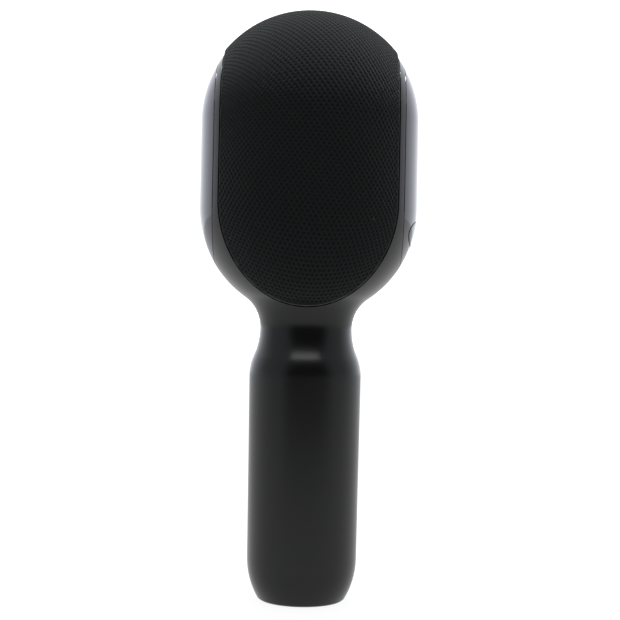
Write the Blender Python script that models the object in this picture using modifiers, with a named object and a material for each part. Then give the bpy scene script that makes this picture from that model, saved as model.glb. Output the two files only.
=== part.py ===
"""A wireless karaoke microphone with a loudspeaker in its head.

The body is one turned outline about +Z, made as two half shells that meet at Y = 0. A band of
knitted cloth runs over the head from its rear to its front face, and a domed light panel closes
each side of the head. The loudspeaker faces the rear, -Y, and the keys are on the front, +Y.
The microphone stands on its base, with the origin at the middle of the base's underside.
"""

import math

import bmesh
import bpy
from mathutils import Matrix, Vector

MM = 0.001
GAP = 0.3 * MM

# The turned outline of the body, from its crown down.
HEAD_RADIUS = 45.1 * MM
CROWN_Z = 196.7 * MM
CHEEK_Z = 161.5 * MM
WAIST_RADIUS = 19.0 * MM
WAIST_Z = 112.0 * MM
SHOULDER_RADIUS = 23.0 * MM
SHOULDER_Z = 92.0 * MM
SHOULDER_HOLLOW = 30.0 * MM
HANDLE_LOW_RADIUS = 22.5 * MM
HANDLE_LOW_Z = 17.6 * MM
BASE_ARC = 32.4 * MM
BASE_Z = 0.4 * MM
WALL = 2.2 * MM
RING_STEPS = 32
DRIVER_STEPS = 20
SMALL_STEPS = 16
HOLE_STEPS = 8

# The head: cloth band, its frame, and the flat planes where the side panels start.
SPLIT_GAP = 0.15 * MM
SEAM = 0.15 * MM
SIDE_PLANE = 38.1 * MM
SHELL_SIDE = SIDE_PLANE - SEAM
BAND_HALF = 35.5 * MM
BAND_Z = 162.0 * MM
BAND_DROP = 41.5 * MM
CLOTH_PROUD = 0.9 * MM
CLOTH_THICK = 0.6 * MM
FRAME_INSET = 0.1 * MM
FRAME_THICK = 1.4 * MM
FOAM_INSET = 2.6 * MM
PANEL_THICK = 1.7 * MM

# The loudspeaker and the passive radiator share a chamber whose axis is along Y.
SPEAKER_Z = 178.0 * MM
CHAMBER_RADIUS = 33.0 * MM
CHAMBER_HALF = 24.2 * MM
CHAMBER_HOLE = 24.6 * MM
FLANGE_RADIUS = 31.5 * MM
FLANGE_FRONT = 26.2 * MM
SCREW_CIRCLE = 29.5 * MM
ROLL_RADIUS = 23.5 * MM
DIAPHRAGM_RADIUS = 21.5 * MM

# Where the speaker's and the capsule's cables pass the chamber's foot, as (x, y).
FOOT_HOLES = {"speaker_cable_hole": (0.0, 16.0 * MM), "capsule_cable_hole": (14.0 * MM, 12.0 * MM)}

# The light boards, diffusers and light key, inside the side panels.
LIGHT_BOARD_X = 34.2 * MM
LIGHT_HALF = 16.4 * MM
LIGHT_KEY_Z = 151.3 * MM
LIGHT_KEY_HALF = (16.4 * MM, 5.5 * MM)

# The battery and boards in the handle, and the keys on its front.
BATTERY_Y = -8.2 * MM
BATTERY_RADIUS = 9.2 * MM
BATTERY_LOW_Z = 23.5 * MM
BATTERY_LENGTH = 65.0 * MM
MAIN_BOARD_Y = 8.6 * MM
BUTTON_BOARD_Y = 12.0 * MM
KEYPAD_Y = 13.3 * MM
KEY_BACK_Y = 15.9 * MM
KEY_PROUD = 0.5 * MM
CONTROL_HALF = 11.5 * MM
CONTROL_LOW_Z = 52.5 * MM
CONTROL_HIGH_Z = 90.0 * MM
SOCKET_Z = 27.0 * MM
JACK_Z = 34.3 * MM
ROUND_KEY = (4.4 * MM, 4.4 * MM)
PILL_KEY = (4.0 * MM, 2.6 * MM)
KEY_COLUMN = 5.6 * MM
KEYS = {
    "power_button": (0.0, 92.0 * MM, ROUND_KEY),
    "volume_down_button": (-KEY_COLUMN, 81.5 * MM, PILL_KEY),
    "volume_up_button": (KEY_COLUMN, 81.5 * MM, PILL_KEY),
    "play_button": (0.0, 71.0 * MM, ROUND_KEY),
    "echo_down_button": (-KEY_COLUMN, 60.5 * MM, PILL_KEY),
    "echo_up_button": (KEY_COLUMN, 60.5 * MM, PILL_KEY),
    "voice_button": (0.0, 50.5 * MM, ROUND_KEY),
}

FAR = 0.4  # longer than the whole body, for cutters

# Each finish is a colour, a roughness and a metallic value.
FINISHES = {
    "shell_black": ((0.022, 0.022, 0.022), 0.42, 0.0),
    "panel_gloss": ((0.03, 0.03, 0.038), 0.12, 0.0),
    "control_gloss": ((0.012, 0.012, 0.013), 0.15, 0.0),
    "key_black": ((0.03, 0.03, 0.03), 0.5, 0.0),
    "grille_cloth": ((0.008, 0.008, 0.008), 0.95, 0.0),
    "frame_plastic": ((0.02, 0.02, 0.02), 0.6, 0.0),
    "rubber": ((0.015, 0.015, 0.015), 0.85, 0.0),
    "foam": ((0.02, 0.02, 0.02), 1.0, 0.0),
    "paper": ((0.03, 0.028, 0.026), 0.9, 0.0),
    "spider_cloth": ((0.45, 0.28, 0.1), 0.9, 0.0),
    "steel": ((0.55, 0.55, 0.56), 0.35, 1.0),
    "zinc_steel": ((0.45, 0.46, 0.48), 0.4, 1.0),
    "copper_coil": ((0.6, 0.25, 0.1), 0.35, 1.0),
    "ferrite": ((0.05, 0.05, 0.052), 0.7, 0.0),
    "circuit_board": ((0.01, 0.09, 0.04), 0.5, 0.0),
    "diffuser": ((0.75, 0.76, 0.78), 0.5, 0.0),
    "battery_wrap": ((0.02, 0.12, 0.3), 0.35, 0.0),
    "cable_jacket": ((0.02, 0.02, 0.02), 0.6, 0.0),
}


def clear_scene():
    for thing in list(bpy.data.objects):
        bpy.data.objects.remove(thing, do_unlink=True)


def new_collection(name, shown=True):
    made = bpy.data.collections.new(name)
    bpy.context.scene.collection.children.link(made)
    made.hide_render = not shown
    return made


clear_scene()
PARTS = new_collection("karaoke_microphone")
CUTTERS = new_collection("cutters", shown=False)


def finish_of(name):
    """The Principled material of this finish, made on first use."""
    made = bpy.data.materials.get(name)
    if made is None:
        colour, roughness, metallic = FINISHES[name]
        made = bpy.data.materials.new(name)
        made.use_nodes = True
        shader = made.node_tree.nodes["Principled BSDF"]
        shader.inputs["Base Color"].default_value = (*colour, 1.0)
        shader.inputs["Roughness"].default_value = roughness
        shader.inputs["Metallic"].default_value = metallic
    return made


def object_from(name, mesh, place=None):
    made = bpy.data.objects.new(name, mesh)
    CUTTERS.objects.link(made)
    made.hide_render = True
    made.display_type = "WIRE"
    if place is not None:
        made.matrix_world = place
    return made


def mesh_of(thing):
    """A new mesh of the object as its modifiers leave it, in its own frame."""
    bpy.context.view_layer.update()
    graph = bpy.context.evaluated_depsgraph_get()
    return bpy.data.meshes.new_from_object(thing.evaluated_get(graph))


def combine(thing, operation, other):
    step = thing.modifiers.new(other.name, "BOOLEAN")
    step.operation = operation
    step.solver = "EXACT"
    step.object = other


def cut(thing, *others):
    for other in others:
        combine(thing, "DIFFERENCE", other)


def join(thing, *others):
    for other in others:
        combine(thing, "UNION", other)


def keep_inside(thing, *others):
    for other in others:
        combine(thing, "INTERSECT", other)


def as_part(thing, finish):
    """Turns a built object into a finished sub-part: modifiers applied, shaded, coloured."""
    mesh = mesh_of(thing)
    thing.modifiers.clear()
    thing.data = mesh
    mesh.materials.clear()
    mesh.materials.append(finish_of(finish))
    mesh.shade_smooth()
    mesh.set_sharp_from_angle(angle=math.radians(35))
    CUTTERS.objects.unlink(thing)
    PARTS.objects.link(thing)
    thing.hide_render = False
    thing.display_type = "TEXTURED"
    return thing


# Places for turned and extruded shapes, whose own axis is +Z.
ALONG_X = Matrix.Rotation(math.radians(90), 4, "Y")
ALONG_Y = Matrix.Rotation(math.radians(-90), 4, "X")


def at(x, y, z, turn=None):
    moved = Matrix.Translation((x, y, z))
    return moved if turn is None else moved @ turn


def turned(name, outline, steps=SMALL_STEPS, place=None, ring=False):
    """A solid turned from (radius, height) points that run down its outer side."""
    mesh = bpy.data.meshes.new(name)
    count = len(outline)
    edges = [(i, i + 1) for i in range(count - 1)]
    if ring:
        edges.append((count - 1, 0))
    mesh.from_pydata([(radius, 0.0, height) for radius, height in outline], edges, [])
    made = object_from(name, mesh, place)
    screw = made.modifiers.new("turn", "SCREW")
    screw.axis = "Z"
    screw.angle = math.tau
    screw.steps = steps
    screw.render_steps = steps
    screw.use_merge_vertices = True
    screw.merge_threshold = 0.00001
    made.data = mesh_of(made)
    made.modifiers.clear()
    return made


def rod(name, radius, low, high, place=None, steps=16):
    """A round bar between two heights along its own axis."""
    outline = [(0.0, high), (radius, high), (radius, low), (0.0, low)]
    return turned(name, outline, steps, place)


def tube(name, outer, inner, low, high, place=None, steps=SMALL_STEPS):
    outline = [(inner, high), (outer, high), (outer, low), (inner, low)]
    return turned(name, outline, steps, place, ring=True)


def box(name, low, high):
    """A box between two opposite corners."""
    low = Vector(low)
    high = Vector(high)
    mesh = bpy.data.meshes.new(name)
    shape = bmesh.new()
    bmesh.ops.create_cube(shape, size=1.0)
    bmesh.ops.scale(shape, vec=high - low, verts=shape.verts)
    bmesh.ops.translate(shape, vec=(low + high) / 2, verts=shape.verts)
    shape.to_mesh(mesh)
    shape.free()
    return object_from(name, mesh)


def prism(name, outline, depth, place=None):
    """A flat outline in its own XY plane, extruded to this depth, half on each side."""
    curve = bpy.data.curves.new(name, "CURVE")
    curve.dimensions = "2D"
    curve.fill_mode = "BOTH"
    curve.extrude = depth / 2
    spline = curve.splines.new("POLY")
    spline.points.add(len(outline) - 1)
    for point, (x, y) in zip(spline.points, outline):
        point.co = (x, y, 0.0, 1.0)
    spline.use_cyclic_u = True
    flat = object_from(name + "_outline", curve)
    mesh = mesh_of(flat)
    bpy.data.objects.remove(flat, do_unlink=True)
    shape = bmesh.new()
    shape.from_mesh(mesh)
    bmesh.ops.remove_doubles(shape, verts=shape.verts, dist=0.00001)
    bmesh.ops.recalc_face_normals(shape, faces=shape.faces)
    shape.to_mesh(mesh)
    shape.free()
    return object_from(name, mesh, place)


def arc(centre, radius, start, end, steps):
    """Points on an arc about (r, z), with angles in radians from the +r direction."""
    points = []
    for step in range(steps + 1):
        angle = start + (end - start) * step / steps
        points.append((centre[0] + radius * math.cos(angle), centre[1] + radius * math.sin(angle)))
    return points


def stadium(half_width, low, high, steps=8):
    """An upright slot outline whose end centres are at these two heights."""
    top = arc((0.0, high), half_width, 0.0, math.pi, steps)
    bottom = arc((0.0, low), half_width, math.pi, math.tau, steps)
    return top + bottom


def level_slot(half_length, half_height, steps=8):
    """A level slot outline about its own middle."""
    reach = half_length - half_height
    right = arc((reach, 0.0), half_height, -math.pi / 2, math.pi / 2, steps)
    left = arc((-reach, 0.0), half_height, math.pi / 2, 1.5 * math.pi, steps)
    return right + left


def oval(half_width, half_height, steps=20):
    return [
        (half_width * math.cos(math.tau * i / steps), half_height * math.sin(math.tau * i / steps))
        for i in range(steps)
    ]


def body_outline(inset=0.0, fine=1.0):
    """The body's outline this far inside its surface, from the crown down to the base."""
    rise = CHEEK_Z - WAIST_Z
    neck = (WAIST_RADIUS**2 + rise**2 - HEAD_RADIUS**2) / (2 * (HEAD_RADIUS - WAIST_RADIUS))
    neck_centre = (WAIST_RADIUS + neck, WAIST_Z)
    meet = math.atan2(rise, neck_centre[0])
    step_in = SHOULDER_RADIUS - WAIST_RADIUS
    drop = WAIST_Z - SHOULDER_Z
    lean = 2 * math.atan(step_in / drop)
    crest = drop / math.sin(lean) - SHOULDER_HOLLOW
    hollow_centre = (WAIST_RADIUS + SHOULDER_HOLLOW, WAIST_Z)
    crest_centre = (SHOULDER_RADIUS - crest, SHOULDER_Z)
    base_centre = (HANDLE_LOW_RADIUS - BASE_ARC, HANDLE_LOW_Z)
    tuck = math.asin((HANDLE_LOW_Z - BASE_Z) / (BASE_ARC - inset))
    points = arc((0.0, CROWN_Z), HEAD_RADIUS - inset, math.pi / 2, 0.0, round(7 * fine))
    points += arc((0.0, CHEEK_Z), HEAD_RADIUS - inset, 0.0, -meet, round(6 * fine))
    points += arc(neck_centre, neck + inset, math.pi - meet, math.pi, 4)[1:]
    points += arc(hollow_centre, SHOULDER_HOLLOW + inset, math.pi, math.pi + lean, 2)[1:]
    points += arc(crest_centre, crest - inset, lean, 0.0, 2)[1:]
    points += arc(base_centre, BASE_ARC - inset, 0.0, -tuck, 4)
    points[0] = (0.0, points[0][1])
    return points


def outline_down_to(lowest, inset=0.0, fine=1.0):
    """The body's outline from the crown to this height."""
    points = body_outline(inset, fine)
    kept = [point for point in points if point[1] > lowest]
    above = kept[-1]
    below = points[len(kept)] if len(kept) < len(points) else (above[0], lowest)
    share = (above[1] - lowest) / (above[1] - below[1])
    kept.append((above[0] + share * (below[0] - above[0]), lowest))
    return kept


def dome(name, outer_inset, inner_inset, lowest, fine=1.0, steps=RING_STEPS):
    """A skin over the head between two insets, open at its lower rim."""
    outside = outline_down_to(lowest, outer_inset, fine)
    inside = outline_down_to(lowest, inner_inset, fine)
    return turned(name, outside + inside[::-1], steps)


def body_solid(name, inset):
    """The whole body as a solid, for trimming pieces to its surface."""
    return turned(name, body_outline(inset) + [(0.0, BASE_Z)], RING_STEPS)


def band_outline(spread=0.0):
    """The cloth band seen from the rear: straight sides and a half oval below."""
    half = BAND_HALF + spread
    drop = BAND_DROP + spread
    steps = 20
    points = [(half, FAR)]
    for i in range(steps + 1):
        angle = -math.pi * i / steps
        points.append((half * math.cos(angle), BAND_Z + drop * math.sin(angle)))
    return points + [(-half, FAR)]


def band_prism(name, spread=0.0):
    return prism(name, band_outline(spread), FAR, at(0, 0, 0, Matrix.Rotation(math.pi / 2, 4, "X")))


def upright(x, y, z):
    """The place of a prism whose outline stands upright and whose depth runs along Y."""
    return at(x, y, z, Matrix.Rotation(math.pi / 2, 4, "X"))


def sideways(x, y, z):
    """The place of a prism whose outline lies in the YZ plane and whose depth runs along X."""
    return at(x, y, z, Matrix.Rotation(math.pi / 2, 4, "Z") @ Matrix.Rotation(math.pi / 2, 4, "X"))


def make_shells():
    opening_radius = 14.2 * MM
    floor_top = 2.6 * MM
    outside = body_outline()
    inside = outline_down_to(floor_top, WALL)
    floor = [(opening_radius, BASE_Z), (opening_radius, floor_top)]
    band = band_prism("band_opening", GAP)
    halves = {"rear_shell": (-FAR, -SPLIT_GAP), "front_shell": (SPLIT_GAP, FAR)}
    for name, (low_y, high_y) in halves.items():
        shell = turned(name, outside + floor + inside[::-1], RING_STEPS)
        side = SHELL_SIDE
        keep_inside(shell, box(name + "_half", (-side, low_y, -FAR), (side, high_y, FAR)))
        cut(shell, band)
        if name == "front_shell":
            cut(shell, *front_openings())
        as_part(shell, "shell_black")


def front_openings():
    """Cutters for the control panel, the charging socket and the headphone jack."""
    panel = stadium(CONTROL_HALF + GAP, CONTROL_LOW_Z, CONTROL_HIGH_Z)
    reach = 30 * MM
    return (
        prism("control_opening", panel, reach, upright(0, reach / 2 + 5 * MM, 0)),
        prism("socket_opening", level_slot(4.9 * MM, 2.0 * MM), reach, upright(0, reach, SOCKET_Z)),
        rod("jack_opening", 2.8 * MM, 15 * MM, 45 * MM, at(0, 0, JACK_Z, ALONG_Y)),
    )


def make_base():
    recess = 12.8 * MM
    recess_top = 1.9 * MM
    plate_radius = 13.9 * MM
    flange_radius = 15.5 * MM
    flange_low = 2.9 * MM
    plate_top = 6.0 * MM
    outline = [
        (0.0, plate_top),
        (flange_radius, plate_top),
        (flange_radius, flange_low),
        (plate_radius, flange_low),
        (plate_radius, BASE_Z),
        (recess, BASE_Z),
        (recess, recess_top),
        (0.0, recess_top),
    ]
    plate = turned("base_plate", outline, DRIVER_STEPS)
    pad_radius = 12.5 * MM
    pad_top = 1.6 * MM
    edge = 0.4 * MM
    pad_outline = [
        (0.0, pad_top),
        (pad_radius, pad_top),
        (pad_radius, edge),
        (pad_radius - edge, 0.0),
        (0.0, 0.0),
    ]
    pad = turned("base_pad", pad_outline, DRIVER_STEPS)
    for name, x in {"base_screw_left": -8 * MM, "base_screw_right": 8 * MM}.items():
        cut(
            plate,
            rod(name + "_head_hole", 2.5 * MM, 0.0, 4.2 * MM, at(x, 0, 0), 10),
            rod(name + "_hole", 1.4 * MM, 0.0, 10 * MM, at(x, 0, 0), HOLE_STEPS),
        )
        screw(name, at(x, 0, 2.2 * MM), 2.2 * MM, 1.6 * MM, 1.1 * MM, 11.5 * MM)
    as_part(plate, "frame_plastic")
    as_part(pad, "rubber")


def screw(name, place, head_radius, head_height, shank_radius, length):
    """A screw whose head starts at its place and whose shank runs along its own +Z."""
    outline = [
        (0.0, length),
        (shank_radius, length - shank_radius),
        (shank_radius, head_height),
        (head_radius, head_height),
        (head_radius * 0.9, 0.0),
        (0.0, 0.0),
    ]
    made = turned(name, outline, 10, place)
    arm = 0.16 * head_radius
    slot_reach = 0.6 * head_radius
    depth = 0.5 * head_height
    recess = box(name + "_slot", (-slot_reach, -arm, -depth), (slot_reach, arm, depth))
    cross = box(name + "_cross", (-arm, -slot_reach, -depth), (arm, slot_reach, depth))
    recess.matrix_world = place
    cross.matrix_world = place
    cut(made, recess, cross)
    return as_part(made, "zinc_steel")


def make_grille():
    cloth = dome("grille_fabric", -CLOTH_PROUD, CLOTH_THICK - CLOTH_PROUD, 117 * MM)
    keep_inside(cloth, band_prism("cloth_band"))
    as_part(cloth, "grille_cloth")

    frame = dome("grille_frame", FRAME_INSET, FRAME_INSET + FRAME_THICK, 117 * MM, 0.8, 24)
    keep_inside(frame, band_prism("frame_band"))
    slot_height = 8.5 * MM
    pitch = 14.4 * MM
    edge = 5.0 * MM
    spine = 2.0 * MM
    rows = 6
    for row in range(rows):
        low = 133 * MM + row * pitch
        fall = max(0.0, (BAND_Z - low) / BAND_DROP)
        half = BAND_HALF * math.sqrt(1 - fall**2) - edge
        for side in (-1, 1):
            near, far = sorted((side * spine, side * half))
            slot = box(f"slot_{row}_{side}", (near, -FAR, low), (far, FAR, low + slot_height))
            cut(frame, slot)
    crown_holes = [(0.0, 0.0)] + [
        (11 * MM * math.cos(math.tau * i / 6), 11 * MM * math.sin(math.tau * i / 6)) for i in range(6)
    ]
    for number, (x, y) in enumerate(crown_holes):
        cut(frame, rod(f"crown_hole_{number}", 3.6 * MM, 230 * MM, FAR, at(x, y, 0), steps=HOLE_STEPS))
    as_part(frame, "frame_plastic")


def make_side_lights():
    near = 36.2 * MM
    far = SIDE_PLANE - GAP
    for name, side in {"left": -1, "right": 1}.items():
        panel = dome(name + "_side_panel", 0.0, PANEL_THICK, 132 * MM)
        low_x, high_x = sorted((side * SIDE_PLANE, side * FAR))
        keep_inside(panel, box(name + "_side", (low_x, -FAR, 0), (high_x, FAR, FAR)))

        diffuser_outline = stadium(LIGHT_HALF, 174.9 * MM, CROWN_Z)
        middle = side * (near + far) / 2
        diffuser = prism(name + "_light_diffuser", diffuser_outline, far - near, sideways(middle, 0, 0))

        board_outline = stadium(LIGHT_HALF, 162.5 * MM, CROWN_Z)
        thick = 1.0 * MM
        middle = side * (LIGHT_BOARD_X + thick / 2)
        board = prism(name + "_light_board", board_outline, thick, sideways(middle, 0, 0))
        lamp_low = LIGHT_BOARD_X + 0.8 * MM
        lamp_high = LIGHT_BOARD_X + 1.7 * MM
        lamp = 1.4 * MM
        for number in range(8):
            angle = math.tau * (number + 0.5) / 8
            y = 12 * MM * math.cos(angle)
            z = 186 * MM + 20 * MM * math.sin(angle)
            low_x, high_x = sorted((side * lamp_low, side * lamp_high))
            join(board, box(f"{name}_lamp_{number}", (low_x, y - lamp, z - lamp), (high_x, y + lamp, z + lamp)))

        if side == 1:
            cut(panel, light_key_prism("light_key_opening", 0.0, GAP))
            make_light_key()
            high_x = LIGHT_BOARD_X + 1.4 * MM
            z = LIGHT_KEY_Z
            half = 2.0 * MM
            join(board, box("light_switch", (lamp_low, -half, z - half), (high_x, half, z + half)))
        as_part(panel, "panel_gloss")
        as_part(diffuser, "diffuser")
        as_part(board, "circuit_board")


def light_key_prism(name, low_x, spread=0.0):
    half_y, half_z = LIGHT_KEY_HALF
    outline = oval(half_y + spread, half_z + spread)
    reach = 60 * MM - low_x
    return prism(name, outline, reach, sideways(low_x + reach / 2, 0, LIGHT_KEY_Z))


def make_light_key():
    key = light_key_prism("light_button", 38.3 * MM)
    keep_inside(key, body_solid("light_key_surface", -0.2 * MM))
    join(key, rod("light_key_stem", 1.8 * MM, 36.3 * MM, 39 * MM, at(0, 0, LIGHT_KEY_Z, ALONG_X), 12))
    as_part(key, "panel_gloss")


def make_chamber():
    end_wall = CHAMBER_HALF - WALL
    inner = CHAMBER_RADIUS - WALL
    outline = [
        (CHAMBER_RADIUS, CHAMBER_HALF),
        (CHAMBER_RADIUS, -CHAMBER_HALF),
        (CHAMBER_HOLE, -CHAMBER_HALF),
        (CHAMBER_HOLE, -end_wall),
        (inner, -end_wall),
        (inner, end_wall),
        (CHAMBER_HOLE, end_wall),
        (CHAMBER_HOLE, CHAMBER_HALF),
    ]
    chamber = turned("speaker_chamber", outline, DRIVER_STEPS, at(0, 0, SPEAKER_Z, ALONG_Y), ring=True)
    join(chamber, rod("chamber_stalk", 11 * MM, 128 * MM, 147.4 * MM))
    join(chamber, rod("chamber_foot", 24 * MM, 127.3 * MM, 129.3 * MM, steps=DRIVER_STEPS))
    for name, (x, y) in FOOT_HOLES.items():
        cut(chamber, rod(name, 2.6 * MM, 120 * MM, 135 * MM, at(x, y, 0), HOLE_STEPS))
    for number, (x, z) in enumerate(screw_places()):
        cut(chamber, rod(f"chamber_hole_{number}", 1.3 * MM, -40 * MM, 40 * MM, at(x, 0, z, ALONG_Y), HOLE_STEPS))
    as_part(chamber, "frame_plastic")


def screw_places():
    """The four screws on the flange's circle, as (x, z)."""
    reach = SCREW_CIRCLE / math.sqrt(2)
    return [(x * reach, SPEAKER_Z + z * reach) for x in (-1, 1) for z in (-1, 1)]


def on_speaker_axis():
    return at(0, 0, SPEAKER_Z, ALONG_Y)


def surround(name, side):
    """A rubber half roll with a flat outer lip. side is -1 on the rear face, 1 on the front."""
    base = FLANGE_FRONT + GAP
    skin = 0.4 * MM
    mean = 1.5 * MM
    lip = 27.5 * MM
    inner_arc = arc((ROLL_RADIUS, base), mean - skin / 2, math.pi, 0.0, 4)
    outer_arc = arc((ROLL_RADIUS, base), mean + skin / 2, math.asin(skin / mean), math.pi, 4)
    outline = inner_arc + [(lip, base), (lip, base + skin)] + outer_arc
    outline = [(radius, side * height) for radius, height in outline]
    if side == 1:
        outline.reverse()
    return as_part(turned(name, outline, DRIVER_STEPS, on_speaker_axis(), ring=True), "rubber")


def make_speaker():
    basket_outline = [
        (9.5 * MM, -7.6 * MM),
        (15.5 * MM, -7.6 * MM),
        (24.2 * MM, -23.2 * MM),
        (24.2 * MM, -24.5 * MM),
        (FLANGE_RADIUS, -24.5 * MM),
        (FLANGE_RADIUS, -FLANGE_FRONT),
        (24.6 * MM, -FLANGE_FRONT),
        (22.9 * MM, -23.4 * MM),
        (14.6 * MM, -8.8 * MM),
        (9.5 * MM, -8.8 * MM),
    ]
    basket = turned("speaker_basket", basket_outline, DRIVER_STEPS, on_speaker_axis(), ring=True)
    half = 6.5 * MM
    low_y = -20.5 * MM
    high_y = -11.5 * MM
    z = SPEAKER_Z
    cut(basket, box("basket_window_level", (-FAR, low_y, z - half), (FAR, high_y, z + half)))
    cut(basket, box("basket_window_upright", (-half, low_y, z - FAR), (half, high_y, z + FAR)))
    for number, (x, z) in enumerate(screw_places()):
        cut(basket, rod(f"basket_hole_{number}", 1.3 * MM, -40 * MM, 0.0, at(x, 0, z, ALONG_Y), HOLE_STEPS))
        place = at(x, -27.6 * MM, z, ALONG_Y)
        screw(f"speaker_screw_{number + 1}", place, 1.7 * MM, 1.1 * MM, 0.9 * MM, 9 * MM)
    as_part(basket, "frame_plastic")

    place = on_speaker_axis()
    as_part(tube("speaker_front_plate", 14.5 * MM, 7.9 * MM, -7.3 * MM, -4.3 * MM, place), "steel")
    as_part(tube("speaker_magnet", 16 * MM, 9 * MM, -4 * MM, 4 * MM, place), "ferrite")
    pole = 6.2 * MM
    yoke_outline = [
        (0.0, 7.3 * MM),
        (15 * MM, 7.3 * MM),
        (15 * MM, 4.3 * MM),
        (pole, 4.3 * MM),
        (pole, -7.3 * MM),
        (0.0, -7.3 * MM),
    ]
    as_part(turned("speaker_yoke", yoke_outline, place=place), "steel")
    as_part(tube("voice_coil", 7.3 * MM, 6.8 * MM, -13.6 * MM, -1 * MM, place), "copper_coil")
    make_cone(place)
    make_spider(place)
    surround("speaker_surround", -1)


def make_cone(place):
    throat = 7.6 * MM
    rim = DIAPHRAGM_RADIUS
    cone_outline = [
        (throat, -12.6 * MM),
        (14 * MM, -17.6 * MM),
        (rim, -25.6 * MM),
        (rim, -26.4 * MM),
        (14 * MM, -18.5 * MM),
        (throat, -13.4 * MM),
    ]
    as_part(turned("speaker_cone", cone_outline, DRIVER_STEPS, place, ring=True), "paper")
    cap_radius = 8.2 * MM
    cap_depth = 2.8 * MM
    front = 14.6 * MM
    skin = 0.5 * MM
    sphere = (cap_radius**2 + cap_depth**2) / (2 * cap_depth)
    centre = (0.0, -front - cap_depth + sphere)
    spread = math.asin(cap_radius / sphere)
    inside = arc(centre, sphere - skin, -math.pi / 2, -math.pi / 2 + spread, 3)
    outside = arc(centre, sphere, -math.pi / 2 + spread, -math.pi / 2, 3)
    inside[0] = (0.0, inside[0][1])
    outside[-1] = (0.0, outside[-1][1])
    as_part(turned("speaker_dust_cap", inside + outside, place=place), "paper")


def make_spider(place):
    inner = 7.7 * MM
    outer = 14.2 * MM
    skin = 0.2 * MM
    middle = -10.4 * MM
    wave = 0.4 * MM
    steps = 5
    top = []
    bottom = []
    for i in range(steps + 1):
        radius = inner + (outer - inner) * i / steps
        height = middle + wave * (-1) ** i
        top.append((radius, height + skin))
        bottom.append((radius, height - skin))
    outline = top + bottom[::-1]
    as_part(turned("speaker_spider", outline, place=place, ring=True), "spider_cloth")


def make_radiator():
    place = on_speaker_axis()
    ring = tube("radiator_frame", FLANGE_RADIUS, 22.6 * MM, 24.5 * MM, FLANGE_FRONT, place, DRIVER_STEPS)
    for number, (x, z) in enumerate(screw_places()):
        cut(ring, rod(f"radiator_hole_{number}", 1.3 * MM, 0.0, 40 * MM, at(x, 0, z, ALONG_Y), HOLE_STEPS))
        toward_rear = at(x, 27.6 * MM, z, Matrix.Rotation(math.radians(90), 4, "X"))
        screw(f"radiator_screw_{number + 1}", toward_rear, 1.7 * MM, 1.1 * MM, 0.9 * MM, 9 * MM)
    as_part(ring, "frame_plastic")
    weight = 9 * MM
    outline = [
        (0.0, 27 * MM),
        (DIAPHRAGM_RADIUS, 27 * MM),
        (DIAPHRAGM_RADIUS, 26 * MM),
        (weight, 26 * MM),
        (weight, 23 * MM),
        (0.0, 23 * MM),
    ]
    as_part(turned("radiator_diaphragm", outline, DRIVER_STEPS, place), "paper")
    surround("radiator_surround", 1)


def make_capsule():
    bracket = rod("capsule_bracket", 6 * MM, 211.3 * MM, 219.4 * MM)
    join(bracket, rod("bracket_plate", 12.5 * MM, 219 * MM, 221 * MM, steps=SMALL_STEPS))
    as_part(bracket, "frame_plastic")
    holder_outline = [
        (0.0, 223.5 * MM),
        (8.4 * MM, 223.5 * MM),
        (8.4 * MM, 230.5 * MM),
        (11.5 * MM, 230.5 * MM),
        (11.5 * MM, 221.3 * MM),
        (0.0, 221.3 * MM),
    ]
    as_part(turned("capsule_holder", holder_outline), "rubber")
    capsule_outline = [
        (0.0, 231.3 * MM),
        (7.2 * MM, 231.3 * MM),
        (8 * MM, 230.5 * MM),
        (8 * MM, 224 * MM),
        (0.0, 224 * MM),
    ]
    as_part(turned("microphone_capsule", capsule_outline), "steel")
    foam_low = 232.3 * MM
    foam_outline = outline_down_to(foam_low, FOAM_INSET) + [(0.0, foam_low)]
    as_part(turned("capsule_foam", foam_outline), "foam")


def make_battery():
    battery_outline = [
        (0.0, BATTERY_LENGTH),
        (3 * MM, BATTERY_LENGTH),
        (3 * MM, BATTERY_LENGTH - 0.8 * MM),
        (BATTERY_RADIUS, BATTERY_LENGTH - 0.8 * MM),
        (BATTERY_RADIUS, 0.0),
        (0.0, 0.0),
    ]
    as_part(turned("battery_cell", battery_outline, place=at(0, BATTERY_Y, BATTERY_LOW_Z)), "battery_wrap")

    plate_radius = 19.2 * MM
    low = 21 * MM
    high = 90 * MM
    thick = 2 * MM
    outer = 10.9 * MM
    inner = 9.6 * MM
    tray = tube("battery_tray", outer, inner, low + 1 * MM, high + 1 * MM, at(0, BATTERY_Y, 0))
    cut(tray, box("tray_mouth", (-FAR, BATTERY_Y + 1 * MM, 0), (FAR, FAR, FAR)))
    join(tray, rod("tray_floor", plate_radius, low, low + thick, steps=DRIVER_STEPS))
    top = rod("tray_top", plate_radius, high, high + thick, steps=DRIVER_STEPS)
    cut(top, box("tray_top_front", (-FAR, 10.6 * MM, 0), (FAR, FAR, FAR)))
    cut(top, rod("tray_cable_hole", 3.4 * MM, 80 * MM, 100 * MM, at(0, 5 * MM, 0)))
    join(tray, top)
    for side in (-1, 1):
        x = side * 8 * MM
        join(tray, rod(f"tray_post_{side}", 3.2 * MM, 6.3 * MM, 21.5 * MM, at(x, 0, 0), 12))
        cut(tray, rod(f"tray_pilot_{side}", 1.4 * MM, 0.0, 16 * MM, at(x, 0, 0), HOLE_STEPS))
    as_part(tray, "frame_plastic")


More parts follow.
